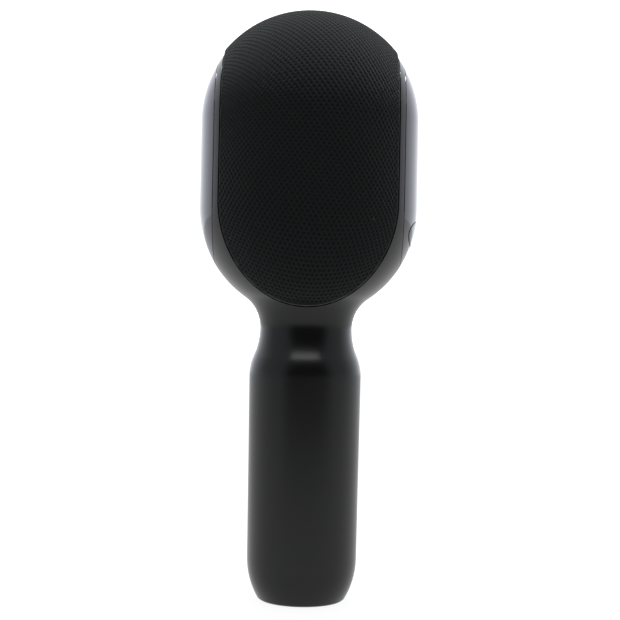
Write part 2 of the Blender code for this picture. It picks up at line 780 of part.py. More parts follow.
def make_boards():
    thick = 1.2 * MM
    half = 16.2 * MM
    low = 24 * MM
    high = 88 * MM
    back = MAIN_BOARD_Y
    board = box("main_board", (-half, back, low), (half, back + thick, high))
    # Each chip is its middle's x and z, its half width and half height, and how far it stands off.
    chips = [
        (-7 * MM, 40 * MM, 4 * MM, 4 * MM, 1.2 * MM),
        (7 * MM, 44 * MM, 3 * MM, 3 * MM, 2.4 * MM),
        (-6 * MM, 60 * MM, 3.5 * MM, 3.5 * MM, 1.2 * MM),
        (7.5 * MM, 64 * MM, 2.5 * MM, 2.5 * MM, 3.2 * MM),
        (-8 * MM, 76 * MM, 3 * MM, 2 * MM, 1.4 * MM),
    ]
    for number, (x, z, wide, tall, stand) in enumerate(chips):
        corner = (x - wide, back - stand, z - tall)
        join(board, box(f"chip_{number}", corner, (x + wide, back + 0.5 * MM, z + tall)))
    as_part(board, "circuit_board")

    reach = 11.6 * MM
    middle = back + thick + GAP + reach / 2
    shell = prism("usb_socket", level_slot(4.5 * MM, 1.6 * MM), reach, upright(0, middle, SOCKET_Z))
    hollow = level_slot(4.1 * MM, 1.2 * MM)
    cut(shell, prism("socket_hollow", hollow, reach, upright(0, middle + 1 * MM, SOCKET_Z)))
    tongue = 0.35 * MM
    low_y = middle - reach / 2 + 0.5 * MM
    high_y = middle + reach / 2 - 1 * MM
    half = 3.2 * MM
    z = SOCKET_Z
    join(shell, box("socket_tongue", (-half, low_y, z - tongue), (half, high_y, z + tongue)))
    as_part(shell, "steel")

    jack_outline = [
        (0.0, 12 * MM),
        (1.75 * MM, 12 * MM),
        (1.75 * MM, 21.8 * MM),
        (2.4 * MM, 21.8 * MM),
        (2.4 * MM, 17 * MM),
        (3 * MM, 17 * MM),
        (3 * MM, 10.1 * MM),
        (0.0, 10.1 * MM),
    ]
    as_part(turned("headphone_jack", jack_outline, 20, at(0, 0, JACK_Z, ALONG_Y)), "frame_plastic")


def make_controls():
    layer_top = 0.1 * MM
    layer_bottom = 2.1 * MM
    outside = outline_down_to(30 * MM, layer_top)
    inside = outline_down_to(30 * MM, layer_bottom)
    panel = turned("control_panel", outside + inside[::-1], RING_STEPS)
    reach = 30 * MM
    slot = stadium(CONTROL_HALF, CONTROL_LOW_Z, CONTROL_HIGH_Z)
    keep_inside(panel, prism("panel_outline", slot, reach, upright(0, reach / 2 + 5 * MM, 0)))

    low = 43 * MM
    high = 98 * MM
    half = 10.3 * MM
    board_top = BUTTON_BOARD_Y + 1 * MM
    as_part(box("button_board", (-half, BUTTON_BOARD_Y, low), (half, board_top, high)), "circuit_board")
    sheet_top = KEYPAD_Y + 0.8 * MM
    keypad = box("keypad", (-half, KEYPAD_Y, low), (half, sheet_top, high))

    surface = body_solid("key_surface", -KEY_PROUD)
    for name, (x, z, (half_width, half_height)) in KEYS.items():
        cut(panel, key_prism(name + "_opening", x, z, half_width + GAP, half_height + GAP, KEY_BACK_Y, FAR))
        key = key_prism(name, x, z, half_width, half_height, KEY_BACK_Y, 40 * MM)
        lip = 0.6 * MM
        flange_top = KEY_BACK_Y + 1.1 * MM
        join(key, key_prism(name + "_flange", x, z, half_width + lip, half_height + lip, KEY_BACK_Y, flange_top))
        keep_inside(key, surface)
        as_part(key, "key_black")
        dome_outline = [
            (0.0, 15.2 * MM),
            (1.6 * MM, 15.2 * MM),
            (2.4 * MM, sheet_top - 0.2 * MM),
            (0.0, sheet_top - 0.2 * MM),
        ]
        join(keypad, turned(name + "_dome", dome_outline, 10, at(x, 0, z, ALONG_Y)))

    z = 98.8 * MM
    cut(panel, rod("indicator_hole", 1.3 * MM, 10 * MM, 40 * MM, at(0, 0, z, ALONG_Y), HOLE_STEPS))
    lens = rod("indicator_lens", 1.0 * MM, 14.5 * MM, 21.7 * MM, at(0, 0, z, ALONG_Y), 12)
    as_part(lens, "diffuser")
    as_part(keypad, "rubber")
    as_part(panel, "control_gloss")


def key_prism(name, x, z, half_width, half_height, low_y, high_y):
    middle = (low_y + high_y) / 2
    outline = level_slot(half_width, half_height, 5)
    if half_width == half_height:
        outline = oval(half_width, half_height, 16)
    return prism(name, outline, high_y - low_y, upright(x, middle, z))


def smooth_route(points, spacing):
    """Points along a smooth curve through the route's own points."""
    route = [Vector(point) for point in points]
    ends = [2 * route[0] - route[1]] + route + [2 * route[-1] - route[-2]]
    found = []
    for before, start, end, after in zip(ends, ends[1:], ends[2:], ends[3:]):
        count = max(1, round((end - start).length / spacing))
        for i in range(count):
            t = i / count
            found.append(
                0.5
                * (
                    2 * start
                    + (end - before) * t
                    + (2 * before - 5 * start + 4 * end - after) * t**2
                    + (3 * start - before - 3 * end + after) * t**3
                )
            )
    return found + [route[-1]]


def cable(name, route, radius):
    curve = bpy.data.curves.new(name, "CURVE")
    curve.dimensions = "3D"
    curve.bevel_depth = radius
    curve.bevel_resolution = 2
    curve.use_fill_caps = True
    points = smooth_route(route, 9 * MM)
    spline = curve.splines.new("POLY")
    spline.points.add(len(points) - 1)
    for point, place in zip(spline.points, points):
        point.co = (*place, 1.0)
    line = object_from(name + "_line", curve)
    mesh = mesh_of(line)
    bpy.data.objects.remove(line, do_unlink=True)
    shape = bmesh.new()
    shape.from_mesh(mesh)
    bmesh.ops.remove_doubles(shape, verts=shape.verts, dist=0.00001)
    shape.to_mesh(mesh)
    shape.free()
    return as_part(object_from(name, mesh), "cable_jacket")


def make_cables():
    speaker_route = [
        (0, 6.6 * MM, 82 * MM),
        (0, 5 * MM, 91 * MM),
        (0, 4.5 * MM, 102 * MM),
        (0, 7.5 * MM, 114 * MM),
        (0, 14 * MM, 123 * MM),
        (*FOOT_HOLES["speaker_cable_hole"], 129 * MM),
        (0, 15.8 * MM, 144.4 * MM),
    ]
    cable("speaker_cable", speaker_route, 0.9 * MM)
    capsule_route = [
        (11.5 * MM, 6.6 * MM, 94 * MM),
        (10 * MM, 7 * MM, 104 * MM),
        (10 * MM, 8 * MM, 115 * MM),
        (*FOOT_HOLES["capsule_cable_hole"], 128.3 * MM),
        (21 * MM, 23 * MM, 144 * MM),
        (26 * MM, 28.4 * MM, 160 * MM),
        (27.5 * MM, 28.8 * MM, 178 * MM),
        (25 * MM, 27.5 * MM, 198 * MM),
        (17 * MM, 17 * MM, 214.5 * MM),
        (9.5 * MM, 8 * MM, 217.8 * MM),
    ]
    cable("capsule_cable", capsule_route, 0.7 * MM)


make_shells()
make_base()
make_grille()
make_side_lights()
make_chamber()
make_speaker()
make_radiator()
make_capsule()
make_battery()
make_boards()
make_controls()
make_cables()
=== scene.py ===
"""Looks for the wireless karaoke microphone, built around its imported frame.

Everything is in metres, +Z up. The microphone's rear face, with the loudspeaker behind its knitted
cloth, looks along -Y, and its keys are on +Y. Shells, panels, cloth and keys are all skins laid on one
turned surface: a flat outline is drawn on the unrolled surface, filled with points, and wrapped round.
"""

import math

import bpy
import numpy as np
from mathutils import Matrix, Vector, geometry, kdtree


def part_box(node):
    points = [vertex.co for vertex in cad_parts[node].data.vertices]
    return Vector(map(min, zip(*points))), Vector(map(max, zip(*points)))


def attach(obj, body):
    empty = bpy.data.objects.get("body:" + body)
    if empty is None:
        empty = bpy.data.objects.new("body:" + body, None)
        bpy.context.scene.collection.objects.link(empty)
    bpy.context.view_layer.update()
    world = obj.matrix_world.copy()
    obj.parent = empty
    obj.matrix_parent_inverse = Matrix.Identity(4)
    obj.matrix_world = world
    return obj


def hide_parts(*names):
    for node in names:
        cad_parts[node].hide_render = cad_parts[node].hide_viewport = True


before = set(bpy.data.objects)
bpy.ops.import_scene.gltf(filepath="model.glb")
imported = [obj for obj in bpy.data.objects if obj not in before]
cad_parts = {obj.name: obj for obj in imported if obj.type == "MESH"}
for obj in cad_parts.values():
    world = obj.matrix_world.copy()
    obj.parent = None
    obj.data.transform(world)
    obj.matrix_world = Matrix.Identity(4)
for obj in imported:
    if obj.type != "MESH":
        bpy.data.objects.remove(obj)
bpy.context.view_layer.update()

MM = 0.001

# The turned body, from its opening in the base up to its crown.
HEAD_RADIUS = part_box("right_side_panel")[1].x
CLOTH_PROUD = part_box("grille_fabric")[1].y - HEAD_RADIUS
CROWN_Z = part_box("grille_fabric")[1].z - HEAD_RADIUS - CLOTH_PROUD
CHEEK_Z = CROWN_Z - 35.2 * MM
WAIST_RADIUS = 19.0 * MM
WAIST_Z = 112.0 * MM
SHOULDER_RADIUS = 23.0 * MM
SHOULDER_Z = 92.0 * MM
SHOULDER_HOLLOW = 30.0 * MM
HANDLE_LOW_RADIUS = 22.5 * MM
HANDLE_LOW_Z = 17.6 * MM
BASE_ARC = 32.4 * MM
BASE_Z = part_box("rear_shell")[0].z
BASE_ROUND = 0.9 * MM
BASE_OPENING = 14.2 * MM
SPARE = 1.0 * MM  # the surface runs on this far into the opening
WALL = 2.2 * MM
SPLIT_GAP = 0.004 * MM

# The head: side planes, and the band of cloth over it.
PANEL_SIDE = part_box("right_side_panel")[0].x
SHELL_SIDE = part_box("rear_shell")[1].x
CLOTH_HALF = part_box("grille_fabric")[1].x
BAND_HALF = CLOTH_HALF + 0.2 * MM
BAND_Z = 162.0 * MM
CLOTH_GAP = 0.3 * MM  # between the cloth's lowest edge and its opening
BAND_DROP = BAND_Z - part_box("grille_fabric")[0].z + CLOTH_GAP
LIGHT_KEY_LOW, LIGHT_KEY_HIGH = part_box("light_button")
LIGHT_KEY_HALF = (LIGHT_KEY_HIGH.y, (LIGHT_KEY_HIGH.z - LIGHT_KEY_LOW.z) / 2)
LIGHT_KEY_Z = (LIGHT_KEY_LOW.z + LIGHT_KEY_HIGH.z) / 2

# The knit: holes in staggered rows, wider apart where the cloth is pulled down over the cheeks.
KNIT_PITCH = 2.12 * MM
KNIT_ROW = 1.42 * MM
KNIT_ROW_STRETCHED = 2.2 * MM
KNIT_SLANT = 0.05

FRONT = -1  # the side of a (x, z) drawing that faces +Y
REAR = 1

random = np.random.default_rng(7)


def arc(centre, radius, start, end, step=0.3 * MM):
    """Points on an arc about (r, z), with angles in radians from the +r direction."""
    count = max(3, math.ceil(abs(end - start) * abs(radius) / step) + 1)
    angles = np.linspace(start, end, count)
    return np.column_stack([centre[0] + radius * np.cos(angles), centre[1] + radius * np.sin(angles)])


def outline(proud):
    """(radius, height) points of the surface this far outside the body, from its base opening up."""
    rise = CHEEK_Z - WAIST_Z
    neck = (WAIST_RADIUS**2 + rise**2 - HEAD_RADIUS**2) / (2 * (HEAD_RADIUS - WAIST_RADIUS))
    neck_centre = (WAIST_RADIUS + neck, WAIST_Z)
    meet = math.atan2(rise, neck_centre[0])
    step_in = SHOULDER_RADIUS - WAIST_RADIUS
    drop = WAIST_Z - SHOULDER_Z
    lean = 2 * math.atan(step_in / drop)
    crest = drop / math.sin(lean) - SHOULDER_HOLLOW
    hollow_centre = (WAIST_RADIUS + SHOULDER_HOLLOW, WAIST_Z)
    crest_centre = (SHOULDER_RADIUS - crest, SHOULDER_Z)
    base_centre = (HANDLE_LOW_RADIUS - BASE_ARC, HANDLE_LOW_Z)
    round_rise = BASE_Z + BASE_ROUND - HANDLE_LOW_Z
    round_reach = math.sqrt((BASE_ARC + proud - BASE_ROUND) ** 2 - round_rise**2)
    round_centre = (base_centre[0] + round_reach, BASE_Z + BASE_ROUND)
    tuck = math.atan2(round_rise, round_reach)
    pieces = [
        [(BASE_OPENING - SPARE, BASE_Z), (BASE_OPENING, BASE_Z)],
        arc(round_centre, BASE_ROUND, -math.pi / 2, tuck, 0.05 * MM),
        arc(base_centre, BASE_ARC + proud, tuck, 0.0),
        arc(crest_centre, crest + proud, 0.0, lean),
        arc(hollow_centre, SHOULDER_HOLLOW - proud, math.pi + lean, math.pi),
        arc(neck_centre, neck - proud, math.pi, math.pi - meet),
        arc((0.0, CHEEK_Z), HEAD_RADIUS + proud, -meet, 0.0),
        arc((0.0, CROWN_Z), HEAD_RADIUS + proud, 0.0, math.pi / 2),
    ]
    points = np.vstack(pieces)
    apart = np.hypot(*np.diff(points, axis=0).T) > 0.001 * MM
    return points[np.concatenate([[True], apart])]


class Turned:
    """A turned surface, unrolled: flat x is azimuth from the rear, flat y is length along the outline."""

    ACROSS = 30 * MM  # flat width of one radian of azimuth

    def __init__(self, proud=0.0):
        points = outline(proud)
        self.radius, self.height = points.T
        self.along = np.concatenate([[0.0], np.cumsum(np.hypot(*np.diff(points, axis=0).T))])
        slope = np.gradient(points, self.along, axis=0)
        slope /= np.linalg.norm(slope, axis=1)[:, None]
        self.out, self.up = slope[:, 1], -slope[:, 0]

    def place(self, flat):
        """Points and outward normals on the surface for these flat points."""
        turn = flat[:, 0] / self.ACROSS
        radius, height, out, up = (
            np.interp(flat[:, 1], self.along, values)
            for values in (self.radius, self.height, self.out, self.up)
        )
        points = np.column_stack([radius * np.sin(turn), -radius * np.cos(turn), height])
        normals = np.column_stack([out * np.sin(turn), -out * np.cos(turn), up])
        return points, normals

    def radius_at(self, z):
        return np.interp(z, self.height, self.radius)

    def flat(self, x, y, z):
        """Flat points of the points on the surface that lie at these azimuths and heights."""
        along = np.interp(z, self.height, self.along)
        return np.column_stack([np.arctan2(x, -y) * self.ACROSS, along])

    def facing(self, x, z, face):
        """Flat points of a drawing in x and z, projected onto the rear or the front."""
        y = -face * np.sqrt(np.maximum(self.radius_at(z) ** 2 - x**2, 0.0))
        flat = self.flat(x, y, z)
        if face == FRONT:
            flat[:, 0] %= math.tau * self.ACROSS
        return flat

    def sideways(self, y, z, side):
        """Flat points of a drawing in y and z, projected onto the right, 1, or the left, -1."""
        x = side * np.sqrt(np.maximum(self.radius_at(z) ** 2 - y**2, 0.0))
        return self.flat(x, y, z)


BODY = Turned()


def spaced(place, flat, spacing):
    """The open line through these flat points, at even steps on the surface, without its last point."""
    points = place(flat)[0]
    length = np.concatenate([[0.0], np.cumsum(np.linalg.norm(np.diff(points, axis=0), axis=1))])
    at = np.linspace(0.0, length[-1], max(2, math.ceil(length[-1] / spacing)) + 1)[:-1]
    return np.column_stack([np.interp(at, length, flat[:, 0]), np.interp(at, length, flat[:, 1])])


def closed(place, lines, spacing):
    """One loop from open lines that meet end to end."""
    return np.vstack([spaced(place, line, spacing) for line in lines])


def wound(loop, anticlockwise=True):
    """The loop, wound the way that keeps the material on its left."""
    x, y = loop.T
    area = np.sum(x * np.roll(y, -1) - np.roll(x, -1) * y)
    return loop if (area > 0) == anticlockwise else loop[::-1].copy()


def inside(points, loop):
    """Which points lie inside a loop."""
    found = np.zeros(len(points), bool)
    x, y = points.T
    for (x0, y0), (x1, y1) in zip(loop, np.roll(loop, -1, axis=0)):
        if y0 == y1:
            continue
        crosses = (y0 > y) != (y1 > y)
        found ^= crosses & (x < x0 + (y - y0) * (x1 - x0) / (y1 - y0))
    return found


def distances(points, loops):
    """How far each flat point is from the nearest corner of the loops."""
    corners = np.vstack(loops)
    tree = kdtree.KDTree(len(corners))
    for number, (x, y) in enumerate(corners):
        tree.insert((x, y, 0.0), number)
    tree.balance()
    return np.array([tree.find((x, y, 0.0))[2] for x, y in points])


def grid(loops, spacing):
    """Staggered points inside the first loop and outside the others."""
    low, high = loops[0].min(0), loops[0].max(0)
    rise = spacing * math.sqrt(3) / 2
    rows = []
    for number, y in enumerate(np.arange(low[1], high[1], rise)):
        x = np.arange(low[0] + number % 2 * spacing / 2, high[0], spacing)
        rows.append(np.column_stack([x, np.full(len(x), y)]))
    points = np.vstack(rows)
    points = points[inside(points, loops[0])]
    for hole in loops[1:]:
        points = points[~inside(points, hole)]
    return points[distances(points, loops) > 0.6 * spacing]


def fill(loops, points):
    """Triangles of the flat region inside the first loop and outside the others."""
    edges = []
    first = 0
    for loop in loops:
        count = len(loop)
        edges += [(first + i, first + (i + 1) % count) for i in range(count)]
        first += count
    flat = np.vstack([*loops, points]) / MM
    made = geometry.delaunay_2d_cdt([Vector(point) for point in flat.tolist()], edges, [], 1, 1e-6, True)
    source = np.array([origins[0] for origins in made[3]])
    triangles = source[np.array(made[2])]
    a, b, c = (flat[triangles[:, i]] for i in range(3))
    turn = np.cross(b - a, c - a)
    triangles = triangles[np.abs(turn) > 1e-9]
    first = 0
    for number, loop in enumerate(loops):
        bridging = ((triangles >= first) & (triangles < first + len(loop))).all(axis=1)
        centres = (flat[triangles].mean(axis=1) * MM)[bridging]
        kept = np.ones(len(triangles), bool)
        kept[bridging] = inside(centres, loop) == (number == 0)
        triangles = triangles[kept]
        first += len(loop)
    return triangles


def frame_of(place, loop):
    """Points, outward normals and directions into the material along a loop, and the latter flat."""
    points, normals = place(loop)
    along = np.roll(points, -1, axis=0) - np.roll(points, 1, axis=0)
    inward = np.cross(normals, along)
    inward /= np.linalg.norm(inward, axis=1)[:, None]
    nudge = 0.01 * MM
    steps = [
        (place(loop + shift)[0] - place(loop - shift)[0]) / (2 * nudge)
        for shift in (np.array([nudge, 0.0]), np.array([0.0, nudge]))
    ]
    a = np.einsum("ij,ij->i", steps[0], steps[0])
    b = np.einsum("ij,ij->i", steps[0], steps[1])
    d = np.einsum("ij,ij->i", steps[1], steps[1])
    p = np.einsum("ij,ij->i", steps[0], inward)
    q = np.einsum("ij,ij->i", steps[1], inward)
    flat = np.column_stack([d * p - b * q, a * q - b * p]) / (a * d - b * b)[:, None]
    return points, normals, inward, flat


def strips(ring, further, loops):
    """Quads between two rings of points, each made of the same closed loops."""
    faces = []
    first = 0
    for loop in loops:
        count = len(loop)
        for i in range(count):
            j = (i + 1) % count
            faces.append((ring + first + i, further + first + i, further + first + j, ring + first + j))
        first += count
    return faces


def object_of(name, points, faces):
    mesh = bpy.data.meshes.new(name)
    mesh.from_pydata(np.asarray(points).tolist(), [], faces)
    mesh.validate()
    mesh.shade_smooth()
    made = bpy.data.objects.new(name, mesh)
    bpy.context.scene.collection.objects.link(made)
    return made


def skin(name, place, loops, thickness, roll, spacing, relief=None, steps=4, flat_map=None):
    """A closed skin over a region of a surface, with its outer edges rolled over.

    place wraps flat points onto the surface. The region lies inside the first loop and outside the
    others. relief is the points that fill it and how far each is sunk, instead of an even grid.
    """
    loops = [wound(loop, number == 0) for number, loop in enumerate(loops)]
    edge = np.vstack(loops)
    framed = [frame_of(place, loop) for loop in loops]
    edge_points, edge_normals, inward, flat_inward = (np.vstack(parts) for parts in zip(*framed))
    rim = edge + flat_inward * roll
    count = len(edge)
    ends = np.cumsum([len(loop) for loop in loops])[:-1]
    rims = np.split(rim, ends)
    if relief is None:
        fine = grid(rims, spacing)
        sunk = np.zeros(len(fine))
    else:
        fine, sunk = relief
    outer_flat = np.vstack([rim, fine])
    outer, outer_normals = place(outer_flat)
    outer = outer - outer_normals * np.concatenate([np.zeros(count), sunk])[:, None]
    coarse = grid(rims, max(spacing, 2.0 * MM))
    inner_flat = np.vstack([rim, coarse])
    inner, inner_normals = place(inner_flat)
    inner = inner - inner_normals * thickness

    points = [outer]
    normals = [outer_normals]
    flats = [outer_flat]
    faces = fill(rims, fine).tolist()
    ring = 0
    total = len(outer)
    turns = [math.pi / 2 * (step + 1) / steps for step in range(steps)]
    rings = [(roll * (1 - math.sin(turn)), roll * (1 - math.cos(turn)), turn) for turn in turns]
    rings.append((0.0, thickness, math.pi / 2))
    for inset, depth, turn in rings:
        points.append(edge_points + inward * inset - edge_normals * depth)
        normals.append(edge_normals * math.cos(turn) - inward * math.sin(turn))
        flats.append(edge + flat_inward * (inset - max(0.0, depth - roll)))
        faces += strips(ring, total, loops)
        ring = total
        total += count
    points.append(inner)
    normals.append(-inner_normals)
    flats.append(inner_flat)
    faces += strips(ring, total, loops)
    faces += (fill(rims, coarse)[:, ::-1] + total).tolist()

    made = object_of(name, np.vstack(points), faces)
    if flat_map is not None:
        layer = made.data.uv_layers.new(name="knit")
        corner = np.zeros(len(made.data.loops), np.int32)
        made.data.loops.foreach_get("vertex_index", corner)
        layer.data.foreach_set("uv", flat_map(np.vstack(flats))[corner].astype(np.float32).ravel())
    if relief is None:
        made.data.normals_split_custom_set_from_vertices(np.vstack(normals).tolist())
    return made


# ---------------------------------------------------------------- outlines on the body


def circle(x, z, radius, count=64):
    turn = np.linspace(0.0, math.tau, count + 1)
    return x + radius * np.cos(turn), z + radius * np.sin(turn)


def slot(x, z, half_width, half_height, count=24):
    """A level slot with round ends, or an upright one if it is taller than it is wide."""
    end = min(half_width, half_height)
    reach_x, reach_z = half_width - end, half_height - end
    turn = np.linspace(0.0, math.tau, 4 * count + 1)
    across = x + reach_x * np.sign(np.round(np.cos(turn), 6)) + end * np.cos(turn)
    up = z + reach_z * np.sign(np.round(np.sin(turn), 6)) + end * np.sin(turn)
    return across, up


def drawn(surface, shape, face, spacing=0.5 * MM):
    """A loop on the rear or front from a closed drawing in x and z."""
    x, z = (np.append(values, values[0]) for values in shape)
    return spaced(surface.place, surface.facing(x, z, face), spacing)


def stadium(radius, low, high, start, end, count=90):
    """Part of an upright stadium about y = 0, as (y, z), by angle from +y."""
    turn = np.linspace(start, end, count)
    z = np.where(np.sin(turn) > 0, high, low) + radius * np.sin(turn)
    return radius * np.cos(turn), z


def side_cut(x, face):
    """The edge that an upright plane at this x cuts from the head's rear or front half, top to bottom."""
    radius = math.sqrt(HEAD_RADIUS**2 - x**2)
    split = math.asin(SPLIT_GAP / radius)
    y, z = stadium(radius, CHEEK_Z, CROWN_Z, math.pi / 2 - split, split - math.pi / 2)
    return BODY.flat(np.full(len(y), x), -face * y, z)


def band_edge(face):
    """The rim of the opening for the cloth, seen from the rear or front, from the right arm's top."""
    radius = math.sqrt(HEAD_RADIUS**2 - BAND_HALF**2)
    split = math.asin(SPLIT_GAP / radius)
    y, z = stadium(radius, CHEEK_Z, CROWN_Z, math.pi / 2 - split, 0.001)
    arm = BODY.flat(np.full(len(y), BAND_HALF), -face * y, z)
    other_arm = BODY.flat(np.full(len(y), -BAND_HALF), -face * y, z)
    turn = np.linspace(0.0, -math.pi, 240)
    bowl = BODY.facing(BAND_HALF * np.cos(turn), BAND_Z + BAND_DROP * np.sin(turn), face)
    flat = np.vstack([arm, bowl, other_arm[::-1]])
    if face == FRONT:
        flat[:, 0] %= math.tau * BODY.ACROSS
    return flat


def half_outline(face):
    """The outline of the rear or front half shell, with its split faces at y = 0."""
    right = side_cut(SHELL_SIDE, face)
    left = side_cut(-SHELL_SIDE, face)
    rim = band_edge(face)
    low = right[-1, 1]
    along = np.linspace(SPARE, low, 400)
    radius = np.interp(along, BODY.along, BODY.radius)
    turn = (math.pi / 2 - np.arcsin(SPLIT_GAP / radius)) * BODY.ACROSS
    if face == FRONT:
        turn = math.pi * BODY.ACROSS - turn
        left[:, 0] %= math.tau * BODY.ACROSS
    other = -turn if face == REAR else math.tau * BODY.ACROSS - turn
    up_right = np.column_stack([turn, along])
    down_left = np.column_stack([other, along])[::-1]
    bottom = np.vstack([down_left[-1], up_right[0]])
    top_right = np.vstack([right[0], rim[0]])
    top_left = np.vstack([rim[-1], left[0]])
    lines = [bottom, up_right, right[::-1], top_right, rim, top_left, left, down_left]
    return closed(BODY.place, lines, 0.7 * MM)


# ---------------------------------------------------------------- shells, panels and cloth


def make_half_shell(name, face, holes=()):
    loops = [half_outline(face)] + [drawn(BODY, shape, face) for shape in holes]
    made = skin(name + "_cover", BODY.place, loops, WALL, 0.2 * MM, 1.5 * MM)
    return dressed(made, "body", "shell_black", name)


def make_side_panel(name, side):
    radius = math.sqrt(HEAD_RADIUS**2 - PANEL_SIDE**2)
    y, z = stadium(radius, CHEEK_Z, CROWN_Z, 0.0, math.tau, 400)
    loops = [spaced(BODY.place, BODY.sideways(y, z, side), 0.5 * MM)]
    if side == 1:
        loops.append(key_oval(BODY, KEY_GAP))
    made = skin(name + "_lens", BODY.place, loops, 1.7 * MM, 0.3 * MM, 1.2 * MM, steps=6)
    return dressed(made, "body", "panel_gloss", name)


def key_oval(surface, gap):
    turn = np.linspace(0.0, math.tau, 200)
    y = (LIGHT_KEY_HALF[0] + gap) * np.cos(turn)
    z = LIGHT_KEY_Z + (LIGHT_KEY_HALF[1] + gap) * np.sin(turn)
    return spaced(surface.place, surface.sideways(y, z, 1), 0.4 * MM)


def make_light_key():
    surface = Turned(0.15 * MM)
    made = skin("light_key_cap", surface.place, [key_oval(surface, 0.0)], 1.4 * MM, 0.4 * MM, 0.8 * MM)
    return dressed(made, "light_button_body", "panel_gloss", "light_button")


class Cloth:
    """The band of cloth, unrolled: flat x runs across the head, flat y over it from rear to front."""

    def __init__(self):
        self.surface = Turned(CLOTH_PROUD)
        self.radius = HEAD_RADIUS + CLOTH_PROUD
        self.quarter = self.radius * math.pi / 2
        self.straight = CROWN_Z - CHEEK_Z

    def place(self, flat):
        across = flat[:, 0] / self.radius
        reach = np.abs(flat[:, 1])
        climb = np.clip(math.pi / 2 - reach / self.radius, 0.0, None)
        fall = np.clip(reach - self.quarter - self.straight, 0.0, None) / self.radius
        out = self.radius * np.cos(across)
        x = self.radius * np.sin(across)
        y = np.sign(flat[:, 1]) * out * np.cos(climb) * np.cos(fall)
        drop = np.clip(reach - self.quarter, 0.0, self.straight)
        z = CROWN_Z - drop + out * np.sin(climb) - out * np.sin(fall)
        low = z < CHEEK_Z
        shrink = np.where(low, self.surface.radius_at(z) / np.maximum(np.hypot(x, y), 1e-6), 1.0)
        x, y = x * shrink, y * shrink
        middle = np.clip(z, CHEEK_Z, CROWN_Z)
        normals = np.column_stack([x, y, z - middle]) / self.radius
        low_out = np.interp(z, self.surface.height, self.surface.out)
        low_up = np.interp(z, self.surface.height, self.surface.up)
        turn = np.arctan2(x, y)
        low_normals = np.column_stack([low_out * np.sin(turn), low_out * np.cos(turn), low_up])
        return np.column_stack([x, y, z]), np.where(low[:, None], low_normals, normals)

    def flat(self, x, z, face):
        """Flat points of a drawing in x and z below the crown's centre, on the rear or the front."""
        across = np.arcsin(x / self.radius)
        fall = np.arcsin(np.clip((CHEEK_Z - z) / (self.radius * np.cos(across)), 0.0, 1.0))
        level = np.clip(CROWN_Z - z, 0.0, self.straight)
        reach = self.quarter + level + self.radius * fall
        return np.column_stack([across * self.radius, -face * reach])

    def outline(self, spacing=0.5 * MM):
        turn = np.linspace(-math.pi, 0.0, 300)
        x = CLOTH_HALF * np.cos(turn)
        z = BAND_Z + (BAND_DROP - CLOTH_GAP) * np.sin(turn)
        rear = self.flat(x, z, REAR)
        front = self.flat(x[::-1], z[::-1], FRONT)
        right = np.vstack([rear[-1], front[0]])
        left = np.vstack([front[-1], rear[0]])
        return closed(self.place, [rear, right, front, left], spacing)


CLOTH = Cloth()


def row_line():
    """How far along the cloth each row of holes lies, for rows counted from the crown."""
    reach = np.linspace(0.0, 175 * MM, 700)
    low = CLOTH.quarter + 0.87 * CLOTH.straight
    share = np.clip((reach - low) / (42 * MM), 0.0, 1.0)
    pitch = KNIT_ROW + (KNIT_ROW_STRETCHED - KNIT_ROW) * share
    rows = np.concatenate([[0.0], np.cumsum(np.diff(reach) / pitch[1:])])
    return reach, rows


ROW_REACH, ROW_NUMBER = row_line()
KNIT_PIVOT = -(CLOTH.quarter + CLOTH.straight / 2)


def eased(value, low, high):
    share = np.clip((value - low) / (high - low), 0.0, 1.0)
    return share**2 * (3 - 2 * share)


def pull(y):
    """How the cloth was pulled on: its rows' tilt and sag, and how close its columns are drawn."""
    reach = np.abs(y)
    tilt = 0.17 - 0.25 * eased(reach, 35 * MM, 100 * MM)
    sag = -1.8 + 3.5 * eased(reach, 60 * MM, 98 * MM)
    close = 1.0 - 0.17 * eased(reach, 105 * MM, 145 * MM)
    return tilt, sag, close


def knit_flat(knit):
    """Flat points on the cloth of knit coordinates."""
    x = knit[:, 0] * KNIT_PITCH
    y = np.sign(knit[:, 1]) * np.interp(np.abs(knit[:, 1]), ROW_NUMBER, ROW_REACH)
    tilt, sag, close = pull(y)
    return np.column_stack([x * close + KNIT_SLANT * (y - KNIT_PIVOT), y + tilt * x + sag * x**2])


def knit_map(flat):
    """Knit coordinates of flat points on the cloth: holes across, and rows up."""
    x, y = flat.T
    for _ in range(15):
        tilt, sag, close = pull(y)
        x = (flat[:, 0] - KNIT_SLANT * (y - KNIT_PIVOT)) / close
        y = flat[:, 1] - tilt * x - sag * x**2
    rows = np.sign(y) * np.interp(np.abs(y), ROW_REACH, ROW_NUMBER)
    return np.column_stack([x / KNIT_PITCH, rows])


